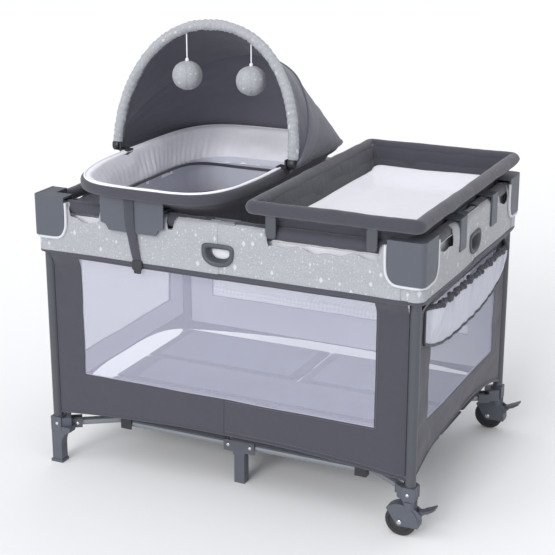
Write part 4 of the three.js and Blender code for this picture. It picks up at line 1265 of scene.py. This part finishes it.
def half_pocket(sign):
    corner = SIDES["right"][1][sign]
    wide = 0.298
    a = sign * np.linspace(0, wide, 190)[None, :]
    v = np.linspace(0, 1, 46)[:, None]
    low = 0.415 + 0.045 * (np.abs(a) / wide) ** 3
    z = low + (POCKET_TOP - low) * v
    gather = np.sin(np.abs(a) * 300 + 3.0 * noise2(a / 0.05, v * 1.4, 61)) * (0.15 + 0.85 * v)
    gather = gather + 1.2 * np.sin(np.abs(a) * 120 + 2.5 * noise2(a / 0.11, v, 64)) * (0.4 + 0.6 * v)
    gather = gather * (0.6 + 0.5 * noise2(a / 0.03, v * 1.2, 62))
    ends = smooth((wide - np.abs(a)) / 0.05)
    out = 0.003 - INSET + (0.024 * np.sin(v * np.pi * 0.58) + 0.0046 * gather) * ends
    P = on_side("right", a + 0 * v, out, z)
    net = grid("pocket_" + corner, P, "pocket", uv=(a + 0 * v, z))
    top = P[-1].copy()
    top[:, 2] += 0.0022
    header_a = a[0]
    header_z = np.full_like(header_a, (POCKET_TOP + SEAM_Z) / 2)
    header = on_side("right", header_a, 0.0012 - INSET, header_z)
    elastic = tube("elastic", top, 0.0058, "dark", sides=10,
                   ripple=lambda s, t: 0.0012 * np.sin(s * 900) + 0.0008 * noise2(s / 0.01, t, 63))
    bottom = tube("trim_low", P[0], 0.0042, "dark", sides=8)
    edge = tube("trim_side", P[:, -1], 0.0036, "dark", sides=8)
    strip = flat_binding(header, "right", (SEAM_Z - POCKET_TOP) / 2 + 0.003, 0.0014)
    trim = join("pocket_trim_" + corner, [elastic, bottom, edge, strip])
    for obj, slot in ((net, "white_fabric"), (trim, "dark_fabric")):
        fold_with(obj, "right", sign, BESIDE)


for sign in (-1, 1):
    half_pocket(sign)


# ------------------------------------------------------------------ trim on the corners and the strap
def casting_piping(corner):
    """Light piping on the cloth round the lower edge of a corner casting."""
    sx, sy = CORNERS[corner]
    lo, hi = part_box("casting_" + corner)
    arm_x = LEG_X - (lo.x - CX if sx > 0 else CX - hi.x) + 0.0045
    arm_y = LEG_Y - (lo.y - CY if sy > 0 else CY - hi.y) + 0.0045
    r = 0.021
    cx, cy = WALL_X - r, WALL_Y - r
    low = CASTING_LOW - 0.0035
    away = 0.0035
    plan = []
    for a in (LEG_X - arm_x, LEG_X - arm_x, LEG_X - arm_x + 0.004, LEG_X - arm_x + 0.020, LEG_X - 0.012):
        plan.append((a, WALL_Y + away))
    heights = [0.699, 0.655, 0.630, low + 0.003, low]
    for t in np.linspace(np.pi / 2, 0, 7):
        plan.append((cx + (r + away) * math.cos(t), cy + (r + away) * math.sin(t)))
        heights.append(low)
    for b in (LEG_Y - 0.012, LEG_Y - arm_y + 0.020, LEG_Y - arm_y + 0.004, LEG_Y - arm_y, LEG_Y - arm_y):
        plan.append((WALL_X + away, b))
    heights += [low, low + 0.003, 0.630, 0.655, 0.699]
    plan = np.array(plan) * np.array([sx, sy]) + np.array([CX, CY])
    path = spline(np.concatenate([plan, np.array(heights)[:, None]], 1), 8)
    obj = tube("corner_piping_" + corner, path, 0.0036, "piping", sides=8)
    ride_soft(obj, "leg_" + corner)


for corner in CORNERS:
    casting_piping(corner)


def strap():
    y = CY - WALL_Y
    keys = [
        (-0.2275, y - 0.0125, 0.742), (-0.2275, y - 0.0135, 0.720), (-0.2265, y - 0.0125, 0.670),
        (-0.2230, y - 0.0100, 0.640), (-0.2180, y - 0.0060, 0.600), (-0.2140, y - 0.0050, 0.580),
    ]
    line = spline([(CX + p[0], p[1], p[2]) for p in keys], 8)
    half = np.linspace(0.0132, 0.0105, len(line))
    rows = []
    for p, h in zip(line, half):
        rows.append([p + np.array([u * h, -0.0010 * (1 - u * u), 0]) for u in np.linspace(-1, 1, 9)])
    web = thicken(grid("strap_web", rows, "dark"), 0.0018, 0.0)
    ride_soft(web, "bassinet")
    buckle = rounded_plate(
        "strap_buckle", (CX - 0.2135, y - 0.0062, 0.570), (0.0135, 0.0035, 0.0125), "black"
    )
    ride_soft(buckle, "bassinet")
    tail = rounded_plate(
        "strap_latch", (CX - 0.2135, y - 0.0050, 0.5555), (0.0095, 0.0025, 0.0065), "black", 0.0012
    )
    ride_soft(tail, "bassinet")


strap()


# ------------------------------------------------------------------ rivets and bolts
def dome(name, at, outward, radius, body, mat="rivet", height=0.45):
    """A domed rivet head."""
    out = Vector(outward).normalized()
    side = out.orthogonal().normalized()
    up = out.cross(side)
    rows = []
    for k in range(6):
        e = k / 5 * math.pi / 2
        r, h = radius * max(math.cos(e), 0.02), radius * height * math.sin(e)
        rows.append(
            [
                Vector(at) + out * h + side * r * math.cos(t) + up * r * math.sin(t)
                for t in np.linspace(0, 2 * np.pi, 24, endpoint=False)
            ]
        )
    obj = grid(name, [[tuple(p) for p in row] for row in rows], mat, close_u=True)
    cap_ends(obj, 6, 24)
    return ride_soft(obj, body)


def rivets():
    for side in ("front", "back"):
        node_name = "centre_foot_" + side
        lo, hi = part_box(node_name)
        s = -1 if side == "front" else 1
        y = lo.y if side == "front" else hi.y
        mid_x = (lo.x + hi.x) / 2
        for k, dx in enumerate((-0.030, 0.030)):
            at = (mid_x + dx, y, 0.100)
            dome("%s_rivet_%d" % (node_name, k), at, (0, s, 0), 0.0048, node_name)
    for corner, (sx, sy) in CORNERS.items():
        out = Vector((-sx * 0.549, sy * 0.836, 0))
        pin = Vector((CX + sx * (LEG_X - 0.0318), CY + sy * (LEG_Y - 0.038), 0.100))
        dome("arm_rivet_" + corner, pin + out * 0.0149, out, 0.0046, "leg_" + corner)
        bolt = (CX + sx * (LEG_X - 0.003), CY + sy * (LEG_Y + 0.014), 0.108)
        dome("bracket_rivet_" + corner, bolt, (0, sy, 0), 0.0046, "leg_" + corner)
    for corner in ("fr", "br"):
        lo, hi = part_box("caster_wheel_" + corner)
        centre = (lo + hi) / 2
        flo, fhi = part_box("caster_fork_" + corner)
        for s, y in ((-1, flo.y), (1, fhi.y)):
            dome(
                "axle_head_%s_%s" % (corner, "in" if s * CORNERS[corner][1] < 0 else "out"),
                (centre.x, centre.y + s * ((hi.y - lo.y) / 2 + 0.0062), centre.z), (0, s, 0), 0.0062,
                "fork_" + corner,
            )


rivets()


# ------------------------------------------------------------------ CAD pieces that show
FINISH = {
    "post": "post", "base_arm": "steel", "base_link": "steel", "long_rail": "steel", "end_rail": "steel",
    "casting": "slate", "bracket": "slate", "hub": "slate", "caster_fork": "slate", "centre_foot": "slate",
    "bassinet_bracket": "slate", "changer_hooks": "slate", "knuckle": "black", "brake_pedal": "slate_dark",
    "canopy_clip": "black", "caster_wheel": "tyre", "floor_pad": "floor",
}
for name, obj in NODES.items():
    if obj.hide_render:
        continue
    finish = next(f for prefix, f in FINISH.items() if name.startswith(prefix))
    obj.data.materials.clear()
    obj.data.materials.append(M[finish])
    obj.data.polygons.foreach_set("use_smooth", [True] * len(obj.data.polygons))
    edge = obj.modifiers.new("soft_edge", "BEVEL")
    edge.width = 0.0009
    edge.segments = 2
    edge.limit_method = "ANGLE"
    edge.angle_limit = math.radians(38)
    edge.harden_normals = True


# ------------------------------------------------------------------ stage
def studio():
    bpy.ops.mesh.primitive_plane_add(size=200, location=(0, 0, 0))
    floor = bpy.context.object
    floor.name = "studio_floor"
    m, _, _ = material("studio_white", (0.92, 0.92, 0.93), 0.95)
    floor.data.materials.append(m)
    world = bpy.data.worlds.new("studio")
    bpy.context.scene.world = world
    world.use_nodes = True
    world.node_tree.nodes["Background"].inputs[0].default_value = (0.97, 0.98, 1.0, 1)
    world.node_tree.nodes["Background"].inputs[1].default_value = 0.66
    for name, place, energy, angle in (
        ("key", (-1.0, -2.4, 3.8), 0.60, 40),
        ("front", (-0.2, -3.2, 1.9), 1.45, 25),
        ("fill", (3.0, -1.8, 2.0), 0.25, 60),
        ("back", (0.2, 3.0, 3.2), 0.35, 60),
    ):
        data = bpy.data.lights.new(name, "SUN")
        data.energy = energy
        data.angle = math.radians(angle)
        lamp = bpy.data.objects.new(name, data)
        lamp.location = place
        lamp.rotation_euler = (Vector((0, 0, 0.4)) - Vector(place)).to_track_quat("-Z", "Y").to_euler()
        bpy.context.scene.collection.objects.link(lamp)
    data = bpy.data.cameras.new("camera")
    data.lens = 91.5
    data.sensor_width = 36
    camera = bpy.data.objects.new("camera", data)
    camera.location = (CX + 1.4545, CY - 3.105, 1.5695)
    camera.rotation_euler = (math.radians(72.11), 0, math.radians(25.38))
    bpy.context.scene.collection.objects.link(camera)
    bpy.context.scene.camera = camera
    bpy.context.scene.view_settings.view_transform = "Standard"


studio()
